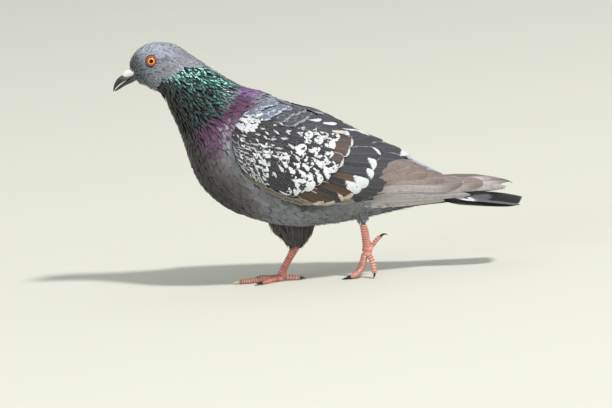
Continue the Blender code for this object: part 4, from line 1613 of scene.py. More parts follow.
@dataclass
class Eye:
    """One eye with its bare ring."""

    side: Side
    centre: Point3 = (-120.6, 9.6, 177.4)
    radius: float = 4.7
    iris: float = 0.72               # angles from the line of sight, in radians
    pupil: float = 0.335
    rim_seat: Point2 = (0.79, 4.78)  # angle and radius of the red rim
    rim_size: Point2 = (0.085, 0.3)
    lid_span: Point2 = (0.85, 1.25)

    def turned(self, profile: Array, steps: int = 48) -> tuple[Array, Array]:
        """Turn a profile round the line of sight.

        Args:
            profile: Rows of angle from the line of sight and radius.
            steps: How many places round.

        Returns:
            Points, and the values the finish reads.
        """
        sight = np.array((0.04, float(self.side.value), 0.02))
        sight /= np.linalg.norm(sight)
        rise = unit(np.cross(sight, np.array((1.0, 0.0, 0.0))))
        across = np.cross(sight, rise)
        turn = np.linspace(0, 2 * math.pi, steps, endpoint=False)
        ring = np.cos(turn)[:, None] * rise + np.sin(turn)[:, None] * across
        centre = np.array(self.centre) * (1, self.side.value, 1)
        tilt, radius = profile[:, 0, None, None], profile[:, 1, None, None]
        points = centre + radius * (np.cos(tilt) * sight + np.sin(tilt) * ring[None])
        form = np.stack((np.broadcast_to(profile[:, 0, None], points.shape[:2]),
                         np.broadcast_to(turn, points.shape[:2]), np.zeros(points.shape[:2])), -1)
        return points, form

    def build(self) -> None:
        """Make the ball and the ring of bare skin."""
        name = self.side.word
        tilt = np.linspace(0.02, 2.0, 40)
        ball = np.stack((tilt, self.radius * (1 + 0.025 * np.exp(-(tilt / 0.5) ** 2))), -1)
        points, form = self.turned(ball)
        amber = EyeFinish("amber eye", self.iris, self.pupil).material()
        link(f"eyeball_{name}", grid_mesh(f"eyeball_{name}", points, form, amber), "eye", f"eye_{name}")
        turn = np.linspace(0, 2 * math.pi, 14, endpoint=False)
        (angle, out), (wide, high) = self.rim_seat, self.rim_size
        rim = np.stack((angle + wide * np.cos(turn), out + high * np.sin(turn)), -1)
        points, form = self.turned(rim)
        red = HornFinish("eye rim", colour(128, 40, 28), colour(84, 30, 26), roughness=0.5, coat=0.1).material()
        link(f"eye_rim_{name}", grid_mesh(f"eye_rim_{name}", points, form, red, True), "eye")
        tilt = np.linspace(*self.lid_span, 12)
        lid = np.concatenate((np.stack((tilt, out - 0.8 * ease(0.95, self.lid_span[1], tilt)), -1),
                              np.stack((tilt[::-1], np.full(12, 3.8)), -1)))
        points, form = self.turned(lid)
        bare = HornFinish("bare lid", colour(150, 158, 170), colour(108, 112, 124), roughness=0.7, coat=0.0,
                          grain=0.5).material()
        link(f"eye_lid_{name}", grid_mesh(f"eye_lid_{name}", points, form, bare, True), "eye")


@dataclass
class Foot:
    """Scutes of one leg and its claws."""

    side: Side
    tarsus: tuple[tuple[Point3, float], ...]
    pitch: float = 1.7
    claw_steps: int = 14

    def toe_path(self, toe: str) -> tuple[tuple[Point3, float], ...]:
        """A toe's centre line with radii.

        Args:
            toe: The toe's name.

        Returns:
            Points with radii.
        """
        points, radius, _ = TOES[self.side.word][toe]
        steps = len(points) - 1
        return tuple((point, radius * (1 - 0.24 * number / steps)) for number, point in enumerate(points))

    def plates(self, path: tuple[tuple[Point3, float], ...], facing: float, across: float, tint: Array,
               rng: np.random.Generator) -> tuple[LimbForm, Feathers]:
        """Overlapping plates along one limb.

        Args:
            path: The limb's centre line.
            facing: Angle round the limb that they face.
            across: Their width against the limb's radius.
            tint: Their colour.
            rng: Source of small differences.

        Returns:
            The limb and its plates.
        """
        form = LimbForm(path)
        points = np.array([point for point, _ in path])
        run = np.concatenate(((0.0,), np.cumsum(np.linalg.norm(np.diff(points, axis=0), axis=1))))
        count = max(int(run[-1] / self.pitch), 3)
        seat = np.interp(np.linspace(0.0, 1.0, count + 1) * run[-1], run, np.arange(len(path)))
        start = rows_of(count, seat[:-1] - 0.12 * np.diff(seat), facing)
        end = rows_of(count, seat[1:] + 0.1 * np.diff(seat), facing)
        radius = np.interp(seat[:-1], np.arange(len(path)), [size for _, size in path])
        ground = tint * rng.uniform(0.9, 1.1, (count, 1))
        return form, Feathers(start, end, radius * across, np.full(count, 0.3), np.full(count, 0.75), ground,
                              ground * 0.5, rows_of(count, 0.12, 0.2, 0.0), 0.25, 0.0)

    def build(self) -> None:
        """Make scutes and claws."""
        rng = np.random.default_rng(60 + self.side.value)
        name = self.side.word
        maker = VaneMaker(f"scutes_{name}", BakeMap.CELL)
        shape = VaneShape((0.0, 0.15, 0.5, 0.85, 1.0), (0.8, 0.98, 1.0, 0.98, 0.8), 9)
        jobs = [(self.tarsus, self.front_angle(self.tarsus, (-1.0, -0.7, 0.2)), 3.2, Plumage.SKIN_PINK)]
        jobs += [(self.toe_path(toe), self.front_angle(self.toe_path(toe), (-0.3, -0.5, 1.0)), 3.3,
                  blend(Plumage.SKIN_PINK, Plumage.SKIN_PALE, np.array(0.35))) for toe in TOES[name]]
        for path, facing, across, tint in jobs:
            form, plates = self.plates(path, facing, across, tint, rng)
            maker.add(form, plates, shape, 3, (0.0, float(len(path) - 1)))
        mesh = maker.mesh()
        mesh.materials.append(FeatherFinish("scutes", roughness=0.45, sheen=0.0, coat=0.15, barbs=0.0).material())
        link(maker.name, mesh, "leg_skin")
        dark = HornFinish("claw horn", Plumage.NIGHT * 1.5, colour(90, 80, 76), roughness=0.3, coat=0.4).material()
        pale = HornFinish("pale claw horn", colour(206, 188, 168), colour(120, 100, 90), roughness=0.35,
                          coat=0.4).material()
        for toe, (points, radius, tip) in TOES[name].items():
            finish = pale if self.side is Side.RIGHT and toe == "middle" else dark
            self.claw(f"{name}_{toe}", np.array(points[-2:], float), radius * 0.76, np.array(tip, float), finish)

    def front_angle(self, path: tuple[tuple[Point3, float], ...], way: Point3) -> float:
        """The angle round a limb that faces a direction.

        Args:
            path: The limb's centre line.
            way: The direction.

        Returns:
            The angle.
        """
        form = LimbForm(path)
        place = np.full(64, (len(path) - 1) / 2)
        angle = np.linspace(-math.pi, math.pi, 64, endpoint=False)
        normal = form.frame(place, angle)[3]
        return float(angle[int(np.argmax(normal @ np.array(way)))])

    def claw(self, name: str, toe_end: Array, radius: float, tip: Array, finish: bpy.types.Material) -> None:
        """A curved claw from the toe's end to its tip.

        Args:
            name: The foot's and toe's names.
            toe_end: The toe's last two centre points.
            radius: The toe's radius at its end.
            tip: The claw's tip.
            finish: Its horn.
        """
        start = toe_end[1]
        ahead = unit(toe_end[1] - toe_end[0])
        share = np.linspace(0, 1, self.claw_steps)[:, None]
        bow = start + ahead * np.linalg.norm(tip - start) * 0.55 + np.array((0, 0, 0.9))
        line = (1 - share) ** 2 * (start - ahead * 0.4) + 2 * share * (1 - share) * bow + share ** 2 * tip
        size = radius * 0.86 * (1 - share[:, 0] ** 1.5 * 0.93)
        heading = unit(np.gradient(line, axis=0))
        side = unit(np.cross(heading, np.array((0.0, 0.0, 1.0)) + 0.01 * ahead))
        rise = np.cross(side, heading)
        turn = np.linspace(0, 2 * math.pi, 16, endpoint=False)
        rings = line[:, None] + size[:, None, None] * (0.78 * np.cos(turn)[None, :, None] * side[:, None]
                                                       + np.sin(turn)[None, :, None] * rise[:, None])
        rings[..., 2] = np.maximum(rings[..., 2], 0.0)
        form = np.stack((np.broadcast_to(share, rings.shape[:2]), np.broadcast_to(np.sin(turn), rings.shape[:2]),
                         np.broadcast_to(np.cos(turn), rings.shape[:2])), -1)
        link(f"talon_{name}", grid_mesh(f"talon_{name}", rings, form, finish), "claw_horn", f"claw_{name}")


@dataclass
class Trousers:
    """Loose feathers of one thigh."""

    side: Side
    path: tuple[tuple[Point3, float], ...]
    across: float
    pitch: float
    tint: Array
    last: float = 2.9

    def build(self) -> tuple[bpy.types.Object, Array, Array]:
        """Make the thigh's feathers.

        Returns:
            The piece, and every feather's root in space with its colour.
        """
        rng = np.random.default_rng(30 + self.side.value)
        form = LimbForm(self.path, self.across)
        start = Scatter(form, (0.0, self.last), (-math.pi, math.pi), 31).spots(self.pitch, 0.75)
        count = len(start)
        length = rng.uniform(6.0, 10.0, count) * (1 - 0.2 * start[:, 0] / self.last)
        end = lie(form, start, length, rng.normal(0, 0.25, count))
        end[:, 0] = np.minimum(end[:, 0], len(self.path) - 1 + 0.25)
        ground = self.tint * rng.uniform(0.7, 1.3, (count, 1))
        batch = Feathers(start, end, rng.uniform(1.2, 2.6, count), np.full(count, 1.5), rng.uniform(-0.2, 1.4, count),
                         ground, ground * 1.3 + 0.01, rows_of(count, 0.2, 0.0, 0.0), camber=0.12)
        maker = VaneMaker(f"trousers_{self.side.word}", BakeMap.PATCH)
        maker.add(form, batch, TUFT_SHAPE, 5, (0.0, float(len(self.path) - 1)))
        mesh = maker.mesh()
        mesh.materials.append(FeatherFinish("thigh plumage").material())
        return link(maker.name, mesh, "body_feathers"), form.point(start[:, 0], start[:, 1]), ground


@dataclass
class Skin:
    """One skin under the whole coat, bare on the legs and feet."""

    voxel: float = 0.95
    depth: float = 1.7
    head_depth: float = 1.0
    head_end: float = -104.0         # the head's depth holds in front of this
    left_hem: Point2 = (36.0, 41.0)  # heights between which each leg goes from bare to feathered
    right_hem: Point2 = (23.0, 28.0)
    knuckles: tuple[tuple[Point3, float], ...] = (((30.6, -10.1, 19.0), 3.5), ((31.6, -10.2, 22.0), 3.6),
                                                  ((-36.4, 7.8, 2.6), 2.9), ((30.2, -10.9, 37.0), 3.0),
                                                  ((-24.2, 9.4, 23.6), 3.3))

    def build(self, nodes: dict[str, bpy.types.Object], roots: Array, tints: Array) -> bpy.types.Object:
        """Join the flesh solids into one skin.

        Args:
            nodes: The frame's solids by name.
            roots: Every feather's root in space.
            tints: The colour of each of those feathers.

        Returns:
            The piece.
        """
        work = bmesh.new()
        for name in FLESH:
            work.from_mesh(nodes[name].data)
        for centre, radius in self.knuckles:
            bmesh.ops.create_icosphere(work, subdivisions=3, radius=radius * MM,
                                       matrix=Matrix.Translation(Vector(centre) * MM))
        rough = bpy.data.meshes.new("rough_skin")
        work.to_mesh(rough)
        work.free()
        holder = bpy.data.objects.new("rough_skin", rough)
        bpy.context.scene.collection.objects.link(holder)
        remesh = holder.modifiers.new("join", "REMESH")
        remesh.mode = "VOXEL"
        remesh.voxel_size = self.voxel * MM
        mesh = bpy.data.meshes.new_from_object(holder.evaluated_get(bpy.context.evaluated_depsgraph_get()))
        bpy.data.objects.remove(holder)
        bpy.data.meshes.remove(rough)
        mesh.name = "skin"
        edges = np.zeros(len(mesh.edges) * 2, np.int32)
        mesh.edges.foreach_get("vertices", edges)
        edges = edges.reshape(-1, 2)
        points = np.zeros(len(mesh.vertices) * 3, np.float32)
        mesh.vertices.foreach_get("co", points)
        points = self.relax(points.reshape(-1, 3).astype(float), edges, 5)
        self.store(mesh, points)
        normals = np.zeros(len(mesh.vertices) * 3, np.float32)
        mesh.vertex_normals.foreach_get("vector", normals)
        here = points / MM
        depth = np.where(here[:, 0] < self.head_end, self.head_depth, self.depth)
        cover = np.where(here[:, 1] < 0, ease(*self.left_hem, here[:, 2]), ease(*self.right_hem, here[:, 2]))
        points = points - normals.reshape(-1, 3) * (depth * cover)[:, None] * MM
        relaxed = self.relax(points, edges, 3)
        points = points + (relaxed - points) * cover[:, None]
        points[:, 2] = np.maximum(points[:, 2], 0.0)
        self.store(mesh, points)
        tree = KDTree(len(roots))
        for number, root in enumerate(roots):
            tree.insert(root, number)
        tree.balance()
        nearest = np.array([tree.find(row)[1] for row in here])
        # the skin under the coat takes the nearest feather's colour, darkened as painted shade beneath the feathers
        shade = tints[nearest] * 0.6
        bare = Plumage.SKIN_PINK * (0.86 + 0.2 * np.sin(here[:, 2:3] * 0.9) * np.sin(here[:, 0:1] * 0.8))
        paint(mesh, "Ground", blend(bare, shade, cover))
        mesh.shade_smooth()
        mesh.materials.clear()
        mesh.materials.append(SkinFinish("skin").material())
        return link("skin", mesh, "leg_skin", *FLESH)

    def relax(self, points: Array, edges: Array, rounds: int) -> Array:
        """Smooth points along a mesh's edges without shrinking them much.

        Args:
            points: The points.
            edges: Pairs of point numbers.
            rounds: How often.

        Returns:
            The smoothed points.
        """
        count = np.bincount(edges.ravel(), minlength=len(points)).astype(float)[:, None]
        for _ in range(rounds):
            for weight in (0.55, -0.5):
                total = np.stack([np.bincount(edges[:, 0], points[edges[:, 1], axis], len(points))
                                  + np.bincount(edges[:, 1], points[edges[:, 0], axis], len(points))
                                  for axis in range(3)], -1)
                points = points + weight * (total / np.maximum(count, 1) - points)
        return points

    def store(self, mesh: bpy.types.Mesh, points: Array) -> None:
        """Write points back to a mesh.

        Args:
            mesh: The mesh.
            points: Its new points, in metres.
        """
        mesh.vertices.foreach_set("co", points.astype(np.float32).ravel())
        mesh.update()


# --- Finishes --------------------------------------------------------------------------------------------------------
@dataclass(frozen=True)
class Value:
    """A shader value that adds, subtracts and multiplies like a number."""

    graph: Graph
    socket: bpy.types.NodeSocket

    def __add__(self, other: object) -> Value:
        """Sum with another value.

        Args:
            other: What to add.

        Returns:
            The sum.
        """
        return self.graph.math("ADD", self, other)

    def __sub__(self, other: object) -> Value:
        """This value less another.

        Args:
            other: What to take off.

        Returns:
            The difference.
        """
        return self.graph.math("SUBTRACT", self, other)

    def __rsub__(self, other: object) -> Value:
        """Another value less this one.

        Args:
            other: What to take this value from.

        Returns:
            The difference.
        """
        return self.graph.math("SUBTRACT", other, self)

    def __mul__(self, other: object) -> Value:
        """Product with another value.

        Args:
            other: What to multiply by.

        Returns:
            The product.
        """
        return self.graph.math("MULTIPLY", self, other)


class Graph:
    """A node tree that is put together by short calls."""

    def __init__(self, tree: bpy.types.NodeTree) -> None:
        """Keep the tree.

        Args:
            tree: The tree to fill.
        """
        self.tree = tree

    def node(self, kind: str, inputs: dict[str | int, object] | None = None, **settings: object) -> bpy.types.Node:
        """Add a node.

        Args:
            kind: The node's type name.
            inputs: Values or output sockets for its inputs.
            settings: Its own settings.

        Returns:
            The node.
        """
        made = self.tree.nodes.new(kind)
        for key, value in settings.items():
            setattr(made, key, value)
        for key, value in (inputs or {}).items():
            self.feed(made.inputs[key], value)
        return made

    def feed(self, socket: bpy.types.NodeSocket, value: object) -> None:
        """Give an input a value or a link.

        Args:
            socket: The input.
            value: A number, a row of numbers, a shader value or an output socket.
        """
        value = value.socket if isinstance(value, Value) else value
        if isinstance(value, bpy.types.NodeSocket):
            self.tree.links.new(value, socket)
        elif isinstance(value, np.ndarray):
            socket.default_value = (*map(float, value), 1.0) if socket.type == "RGBA" else tuple(map(float, value))
        else:
            socket.default_value = value

    def math(self, operation: str, first: object, second: object = 0.0) -> Value:
        """Add a math node.

        Args:
            operation: What it works out.
            first: Its first value.
            second: Its second value.

        Returns:
            Its output.
        """
        return Value(self, self.node("ShaderNodeMath", {0: first, 1: second}, operation=operation).outputs[0])

    def step(self, low: object, high: object, value: object) -> Value:
        """Add a smooth step from 0 to 1.

        Args:
            low: Value at which it starts.
            high: Value at which it ends.
            value: The value to map.

        Returns:
            The eased share.
        """
        return Value(self, self.node("ShaderNodeMapRange", {"Value": value, "From Min": low, "From Max": high},
                                     interpolation_type="SMOOTHSTEP").outputs[0])

    def parts(self, vector: object) -> list[Value]:
        """Split a vector into its three values.

        Args:
            vector: The vector.

        Returns:
            The three values.
        """
        return [Value(self, part) for part in self.node("ShaderNodeSeparateXYZ", {0: vector}).outputs]

    def noise(self, spot: tuple[object, object, object], scale: float, detail: float) -> Value:
        """Add noise over three values.

        Args:
            spot: The three values.
            scale: Scale of the noise.
            detail: Its detail.

        Returns:
            The noise, about 0.5 on average.
        """
        vector = self.node("ShaderNodeCombineXYZ", dict(enumerate(spot))).outputs[0]
        cloud = self.node("ShaderNodeTexNoise", {"Vector": vector, "Scale": scale, "Detail": detail})
        return Value(self, cloud.outputs["Fac"])

    def wear(self, shader: bpy.types.Node, marks: bpy.types.Node, strength: float, distance: float) -> None:
        """Colour a shader with a group's output and raise its height as a bump.

        Args:
            shader: The shader.
            marks: The group's node.
            strength: Strength of the bump.
            distance: Its height in metres.
        """
        self.feed(shader.inputs["Base Color"], marks.outputs["Colour"])
        bump = self.node("ShaderNodeBump", {"Height": marks.outputs["Height"], "Strength": strength,
                                            "Distance": distance})
        self.feed(shader.inputs["Normal"], bump.outputs[0])

    def mix(self, share: object, first: object, second: object) -> bpy.types.NodeSocket:
        """Add a colour mix.

        Args:
            share: Share of the second colour.
            first: The first colour.
            second: The second colour.

        Returns:
            The mixed colour.
        """
        made = self.tree.nodes.new("ShaderNodeMix")
        made.data_type = "RGBA"
        for socket, value in zip((made.inputs[0], made.inputs[6], made.inputs[7]), (share, first, second)):
            self.feed(socket, value)
        return made.outputs[2]

    def dim(self, tint: object, share: object) -> bpy.types.NodeSocket:
        """Multiply a colour by a value.

        Args:
            tint: The colour.
            share: The value.

        Returns:
            The dimmed colour.
        """
        return self.node("ShaderNodeVectorMath", {0: tint, 3: share}, operation="SCALE").outputs[0]


def effect(name: str, inputs: dict[str, str], outputs: dict[str, str]) -> tuple[bpy.types.NodeTree, Graph,
                                                                                bpy.types.Node, bpy.types.Node]:
    """Start a node group with named sockets.

    Args:
        name: The group's name.
        inputs: Socket types by input name.
        outputs: Socket types by output name.

    Returns:
        The group, its graph, its input node and its output node.
    """
    tree = bpy.data.node_groups.new(name, "ShaderNodeTree")
    for direction, sockets in (("INPUT", inputs), ("OUTPUT", outputs)):
        for socket, kind in sockets.items():
            tree.interface.new_socket(socket, in_out=direction, socket_type=f"NodeSocket{kind}")
    graph = Graph(tree)
    return tree, graph, graph.node("NodeGroupInput"), graph.node("NodeGroupOutput")


def vane_marks() -> bpy.types.NodeTree:
    """The group that draws fringe, pale tip, shaft and barbs on a feather.

    Returns:
        The group.
    """
    if found := bpy.data.node_groups.get("vane marks"):
        return found
    tree, graph, given, result = effect(
        "vane marks", {"Vane": "Vector", "Ground": "Color", "Edge": "Color", "Plan": "Vector", "Size": "Vector",
                       "Web": "Vector", "Shaft": "Float", "Barbs": "Float"}, {"Colour": "Color", "Height": "Float"})
    vane, plan, size, web = (graph.parts(given.outputs[key]) for key in ("Vane", "Plan", "Size", "Web"))
    barbs, along = given.outputs["Barbs"], vane[1]
    aside = vane[0] - 0.5
    half_width = size[0] * 0.5
    out_mm = graph.math("ABSOLUTE", aside) * 2.0 * half_width
    along_mm = along * size[1]
    # barbs slant towards the tip, and split apart in places
    barb_line = along_mm - out_mm * 0.9
    split = graph.noise((barb_line, out_mm * 0.22, size[2] * 60.0), 1.7, 3.0)
    ragged = split - 0.5
    # fringe: within a share of the half width from side or tip
    near = graph.math("MINIMUM", half_width - out_mm, (size[1] - along_mm) * 0.9) + ragged * (half_width * 0.3)
    fringe_mm = plan[0] * half_width
    fringe = graph.step(fringe_mm * 1.2 + 0.04, fringe_mm * 0.6, near) * graph.math("GREATER_THAN", plan[0], 0.001)
    # pale tip: the last share of the length, its bound tilted and ragged
    bound = (along - (1.0 - plan[1])) + (aside * plan[2] * 0.6 + ragged * (plan[1] * 0.5 + 0.12))
    pale = graph.step(-0.03, 0.03, bound) * graph.math("GREATER_THAN", plan[1], 0.001)
    # pale web: one side of the shaft, fading towards the tip, up to a dark rim of painted shade along the gap to the
    # next feather
    off = aside * web[1]
    outer = graph.step(0.02, 0.07, off) * graph.step(0.49, 0.455, off) * web[0] * graph.step(0.97, 0.6, along)
    fringe = fringe * (1.0 - web[0] * graph.step(0.93, 0.8, along))
    # blotches break up the pale tip
    cloud = graph.noise((along_mm, aside * size[0], size[2] * 400.0), 0.3, 2.0)
    pale = graph.step(0.49, 0.65, pale + ((cloud - 0.5) * (web[2] * 6.0) + ragged * web[2]))
    mask = graph.math("MAXIMUM", graph.math("MAXIMUM", fringe, pale), outer)
    tint = graph.mix(mask, given.outputs["Ground"], given.outputs["Edge"])
    # barbs darken as a fine pattern; splits and the covered root are darkened as painted shade
    barb = graph.math("SINE", barb_line * 15.0) * 0.5 + 0.5
    shade = 1.0 - (barb * 0.16 + graph.step(0.5, 0.3, split) * 0.35) * barbs
    tint = graph.dim(tint, shade * (graph.step(0.0, 0.3, along) * 0.3 + 0.7))
    shaft = graph.step(0.3, 0.12, out_mm)
    tint = graph.mix(shaft * given.outputs["Shaft"], tint, graph.mix(0.5, Plumage.BUFF, tint))
    height = barb * barbs * 0.5 + shaft
    graph.feed(result.inputs["Colour"], tint)
    graph.feed(result.inputs["Height"], height)
    return tree


def skin_grain() -> bpy.types.NodeTree:
    """The group that varies a colour and makes a fine grain on skin and horn.

    Returns:
        The group.
    """
    if found := bpy.data.node_groups.get("skin grain"):
        return found
    tree, graph, given, result = effect("skin grain", {"Colour": "Color", "Scale": "Float", "Amount": "Float"},
                                        {"Colour": "Color", "Height": "Float"})
    spot = graph.node("ShaderNodeTexCoord").outputs["Object"]
    noise = graph.node("ShaderNodeTexNoise", {"Vector": spot, "Scale": given.outputs["Scale"], "Detail": 4.0})
    cells = graph.node("ShaderNodeTexVoronoi", {"Vector": spot, "Scale": given.outputs["Scale"]})
    cloud = Value(graph, noise.outputs["Fac"])
    shade = (cloud - 0.5) * given.outputs["Amount"] + 1.0
    graph.feed(result.inputs["Colour"], graph.dim(given.outputs["Colour"], shade))
    graph.feed(result.inputs["Height"], cloud + cells.outputs["Distance"])
    return tree


def surface(name: str, roughness: float, metallic: float = 0.0, sheen: float = 0.0,
            coat: float = 0.0) -> tuple[bpy.types.Material, Graph, bpy.types.Node]:
    """Start a material with one shader.

    Args:
        name: The material's name.
        roughness: Its roughness.
        metallic: Its share of metal.
        sheen: Its sheen.
        coat: Its clear coat.

    Returns:
        The material, its graph and its shader.
    """
    material = bpy.data.materials.new(name)
    material.use_nodes = True
    graph = Graph(material.node_tree)
    shader = material.node_tree.nodes["Principled BSDF"]
    for key, value in (("Roughness", roughness), ("Metallic", metallic), ("Sheen Weight", sheen),
                       ("Coat Weight", coat), ("Specular IOR Level", 0.35)):
        shader.inputs[key].default_value = value
    return material, graph, shader


@dataclass(frozen=True)
class Finish:
    """A finish that is made once and then shared by its name."""

    name: str

    def make(self) -> bpy.types.Material:
        """Make the material; each finish has its own way.

        Returns:
            The material.
        """
        raise NotImplementedError

    def material(self) -> bpy.types.Material:
        """Find the finish or make it.

        Returns:
            The material.
        """
        return bpy.data.materials.get(self.name) or self.make()


@dataclass(frozen=True)
class FeatherFinish(Finish):
    """Feather vanes with fringe, shaft and barbs."""

    roughness: float = 0.62
    metallic: float = 0.0
    sheen: float = 0.12
    coat: float = 0.0
    shaft: float = 0.15
    barbs: float = 1.0

    def make(self) -> bpy.types.Material:
        """Make the finish.

        Returns:
            The material.
        """
        material, graph, shader = surface(self.name, self.roughness, self.metallic, self.sheen, self.coat)
        inputs: dict[str | int, object] = {"Vane": graph.node("ShaderNodeUVMap", uv_map="Vane").outputs[0],
                                           "Shaft": self.shaft, "Barbs": self.barbs}
        for key in ("Ground", "Edge", "Plan", "Size", "Web"):
            inputs[key] = graph.node("ShaderNodeAttribute", attribute_name=key).outputs["Vector"]
        marks = graph.node("ShaderNodeGroup", node_tree=vane_marks())
        for key, value in inputs.items():
            graph.feed(marks.inputs[key], value)
        graph.wear(shader, marks, 0.35, 0.0001)
        return material


@dataclass(frozen=True)
class HornFinish(Finish):
    """Horn, cere and lids: one colour that turns into another along the piece."""

    main: Array
    second: Array
    rim: float = 0.0
    roughness: float = 0.4
    coat: float = 0.3
    grain: float = 0.3

    def make(self) -> bpy.types.Material:
        """Make the finish.

        Returns:
            The material.
        """
        material, graph, shader = surface(self.name, self.roughness, coat=self.coat)
        form = graph.node("ShaderNodeAttribute", attribute_name="Form").outputs["Vector"]
        parts = graph.parts(form)
        base = graph.step(0.3, 0.0, parts[0]) * 0.55
        if self.rim:
            base = graph.math("MAXIMUM", base, graph.step(-0.5, -0.75, parts[1]) * self.rim)
        tint = graph.mix(base, self.main, self.second)
        grain = graph.node("ShaderNodeGroup", node_tree=skin_grain())
        for key, value in (("Colour", tint), ("Scale", 900.0), ("Amount", self.grain)):
            graph.feed(grain.inputs[key], value)
        graph.wear(shader, grain, 0.3, 0.0001)
        return material


@dataclass(frozen=True)
class EyeFinish(Finish):
    """Black pupil, orange iris with fine rays and a dark rim."""

    iris: float
    pupil: float

    def make(self) -> bpy.types.Material:
        """Make the finish.

        Returns:
            The material.
        """
        material, graph, shader = surface(self.name, 0.12, coat=0.25)
        shader.inputs["Coat Roughness"].default_value = 0.02
        shader.inputs["Specular IOR Level"].default_value = 0.15
        form = graph.node("ShaderNodeAttribute", attribute_name="Form").outputs["Vector"]
        parts = graph.parts(form)
        rays = graph.math("SINE", parts[1] * 46.0) * 0.03
        ring = graph.mix(graph.step(self.pupil + 0.04, self.iris, parts[0] + rays), colour(246, 168, 44),
                         colour(206, 48, 14))
        dark = graph.mix(graph.step(self.iris - 0.06, self.iris, parts[0]), ring, colour(60, 16, 12))
        tint = graph.mix(graph.step(self.pupil + 0.015, self.pupil - 0.015, parts[0]), dark, colour(6, 6, 7))
        graph.feed(shader.inputs["Base Color"], tint)
        return material


@dataclass(frozen=True)
class SkinFinish(Finish):
    """Skin that takes its colour from the coat above it."""

    def make(self) -> bpy.types.Material:
        """Make the finish.

        Returns:
            The material.
        """
        material, graph, shader = surface(self.name, 0.55)
        shader.inputs["Subsurface Weight"].default_value = 0.05
        shader.inputs["Subsurface Scale"].default_value = 0.001
        ground = graph.node("ShaderNodeAttribute", attribute_name="Ground").outputs["Vector"]
        grain = graph.node("ShaderNodeGroup", node_tree=skin_grain())
        for key, value in (("Colour", ground), ("Scale", 700.0), ("Amount", 0.5)):
            graph.feed(grain.inputs[key], value)
        graph.wear(shader, grain, 0.5, 0.0002)
        return material


# --- Studio ----------------------------------------------------------------------------------------------------------
@dataclass(frozen=True)
class Lamp:
    """One soft round light, in metres and watts."""

    name: str
    place: Point3
    size: float
    power: float
    tint: Point3

    def build(self, aim: Point3) -> None:
        """Add the light.

        Args:
            aim: What it points at.
        """
        data = bpy.data.lights.new(self.name, "AREA")
        data.shape, data.size, data.energy, data.color = "DISK", self.size, self.power, self.tint
        lamp = bpy.data.objects.new(self.name, data)
        bpy.context.scene.collection.objects.link(lamp)
        lamp.location = self.place
        lamp.rotation_mode = "QUATERNION"
        lamp.rotation_quaternion = (Vector(aim) - Vector(self.place)).to_track_quat("-Z", "Y")


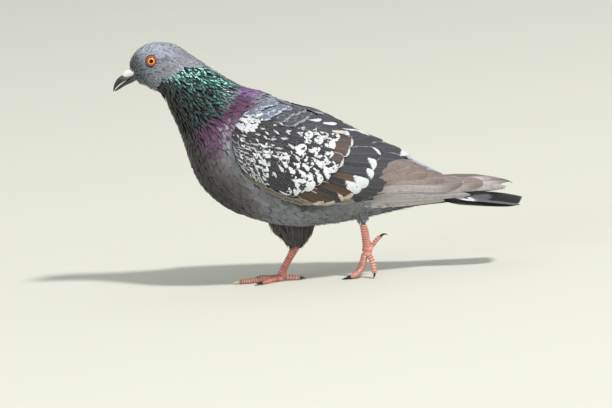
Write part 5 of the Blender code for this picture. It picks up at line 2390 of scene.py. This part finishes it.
@dataclass
class Studio:
    """Plain pale floor with a rim that sweeps up all round, soft light and the camera, in metres and degrees."""

    tint: Array = field(default_factory=lambda: colour(219, 220, 209))
    rings: tuple[float, ...] = (0.001, 1.0, 3.0, 5.0)
    reach: float = 7.8
    sweep: float = 1.2
    wall: float = 1.4
    turns: int = 96
    lamps: tuple[Lamp, ...] = (Lamp("key", (3.6, -4.8, 7.4), 1.0, 760.0, (1.0, 0.98, 0.95)),
                               Lamp("fill", (-5.0, -5.0, 2.4), 3.0, 110.0, (0.88, 0.94, 1.0)))
    lamp_aim: Point3 = (-0.01, 0.0, 0.1)
    sky: tuple[float, ...] = (0.91, 0.93, 0.92, 1.0)
    sky_strength: float = 0.55
    camera_aim: Point3 = (-12.8, 0.0, 58.5)      # in millimetres
    distance: float = 3.0
    lens: float = 232.3
    rise: float = 7.5
    roll: float = 4.5

    def floor(self) -> bpy.types.Object:
        """Make the round floor.

        Returns:
            The floor.
        """
        bend = np.linspace(0, math.pi / 2, 16)
        rim = self.reach + self.sweep
        radius = np.concatenate((self.rings, self.reach + self.sweep * np.sin(bend), (rim,)))
        height = np.concatenate((np.zeros(len(self.rings)), self.sweep * (1 - np.cos(bend)), (self.sweep + self.wall,)))
        turn = np.linspace(0, 2 * math.pi, self.turns, endpoint=False)
        rows = np.stack((radius[:, None] * np.cos(turn), radius[:, None] * np.sin(turn),
                         np.broadcast_to(height[:, None], (len(radius), self.turns))), -1)
        index = np.arange(rows.shape[0] * self.turns).reshape(-1, self.turns)
        following = np.roll(index, -1, axis=1)
        quads = np.stack((index[:-1], index[1:], following[1:], following[:-1]), -1).reshape(-1, 4)
        mesh = array_mesh("floor", rows.reshape(-1, 3) / MM, [quads, index[:1]])
        mesh.shade_smooth()
        material, _, shader = surface("pale floor", 0.9)
        shader.inputs["Base Color"].default_value = (*map(float, self.tint), 1.0)
        mesh.materials.append(material)
        floor = bpy.data.objects.new("floor", mesh)
        bpy.context.scene.collection.objects.link(floor)
        return floor

    def camera(self) -> None:
        """Place the camera a little above the bird, turned a little clockwise."""
        data = bpy.data.cameras.new("camera")
        data.sensor_width, data.lens = 36.0, self.lens
        data.clip_start, data.clip_end = 0.1, 50.0
        lens = bpy.data.objects.new("camera", data)
        bpy.context.scene.collection.objects.link(lens)
        rise, roll = math.radians(self.rise), math.radians(self.roll)
        back = Vector((0.0, -math.cos(rise), math.sin(rise)))
        level_up = Vector((0.0, math.sin(rise), math.cos(rise)))
        right = Vector((math.cos(roll), 0, 0)) - level_up * math.sin(roll)
        up = Vector((math.sin(roll), 0, 0)) + level_up * math.cos(roll)
        place = Vector(self.camera_aim) * MM + back * self.distance
        lens.matrix_world = Matrix.Translation(place) @ Matrix((right, up, back)).transposed().to_4x4()
        bpy.context.scene.camera = lens

    def build(self) -> None:
        """Make floor, light and camera."""
        self.floor()
        for lamp in self.lamps:
            lamp.build(self.lamp_aim)
        world = bpy.data.worlds.new("studio")
        world.use_nodes = True
        backdrop = world.node_tree.nodes["Background"].inputs
        backdrop["Color"].default_value, backdrop["Strength"].default_value = self.sky, self.sky_strength
        bpy.context.scene.world = world
        self.camera()
        bpy.context.scene.view_settings.view_transform = "Standard"


@dataclass
class Pigeon:
    """The whole bird."""

    nodes: dict[str, bpy.types.Object]

    def covers(self) -> BVHTree:
        """The wing and primary solids as one search tree.

        Returns:
            The tree, in metres.
        """
        work = bmesh.new()
        for name in ("wing_left", "wing_right", "primaries_left", "primaries_right"):
            work.from_mesh(self.nodes[name].data)
        tree = BVHTree.FromBMesh(work)
        work.free()
        return tree

    def build(self) -> None:
        """Build every piece, the coat first, as the skin takes its colours from it."""
        body = BodyForm()
        wings = WingForm(body, self.covers())
        LOG.info("wings stand off by up to %.1f mm", float(wings.lift.max()))
        roots, tints = [], []
        makers = [BodyCoat(body, wings, Markings(body)),
                  Wing(wings, Side.LEFT, 21), Wing(wings, Side.RIGHT, 22),
                  Trousers(Side.RIGHT, RIGHT_THIGH, 0.62, 1.9, Plumage.THIGH),
                  Trousers(Side.LEFT, LEFT_THIGH, 0.8, 1.8, Plumage.ASH * 0.7, 1.9)]
        for maker in makers:
            _, spots, shades = maker.build()
            roots.append(spots)
            tints.append(shades)
        for side, seed in ((Side.LEFT, 51), (Side.RIGHT, 52)):
            Primaries(wings, side, seed).build()
        Tail().build()
        Bill().build()
        for side in Side:
            Eye(side).build()
        Foot(Side.LEFT, LEFT_TARSUS).build()
        Foot(Side.RIGHT, RIGHT_TARSUS).build()
        Skin().build(self.nodes, np.concatenate(roots), np.concatenate(tints))


def main() -> None:
    """Build the bird and its studio over the frame."""
    logging.basicConfig(level=logging.INFO, format="%(name)s %(message)s")
    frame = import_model()
    Pigeon(frame["nodes"]).build()
    Studio().build()
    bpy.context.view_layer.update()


if __name__ == "__main__":
    main()
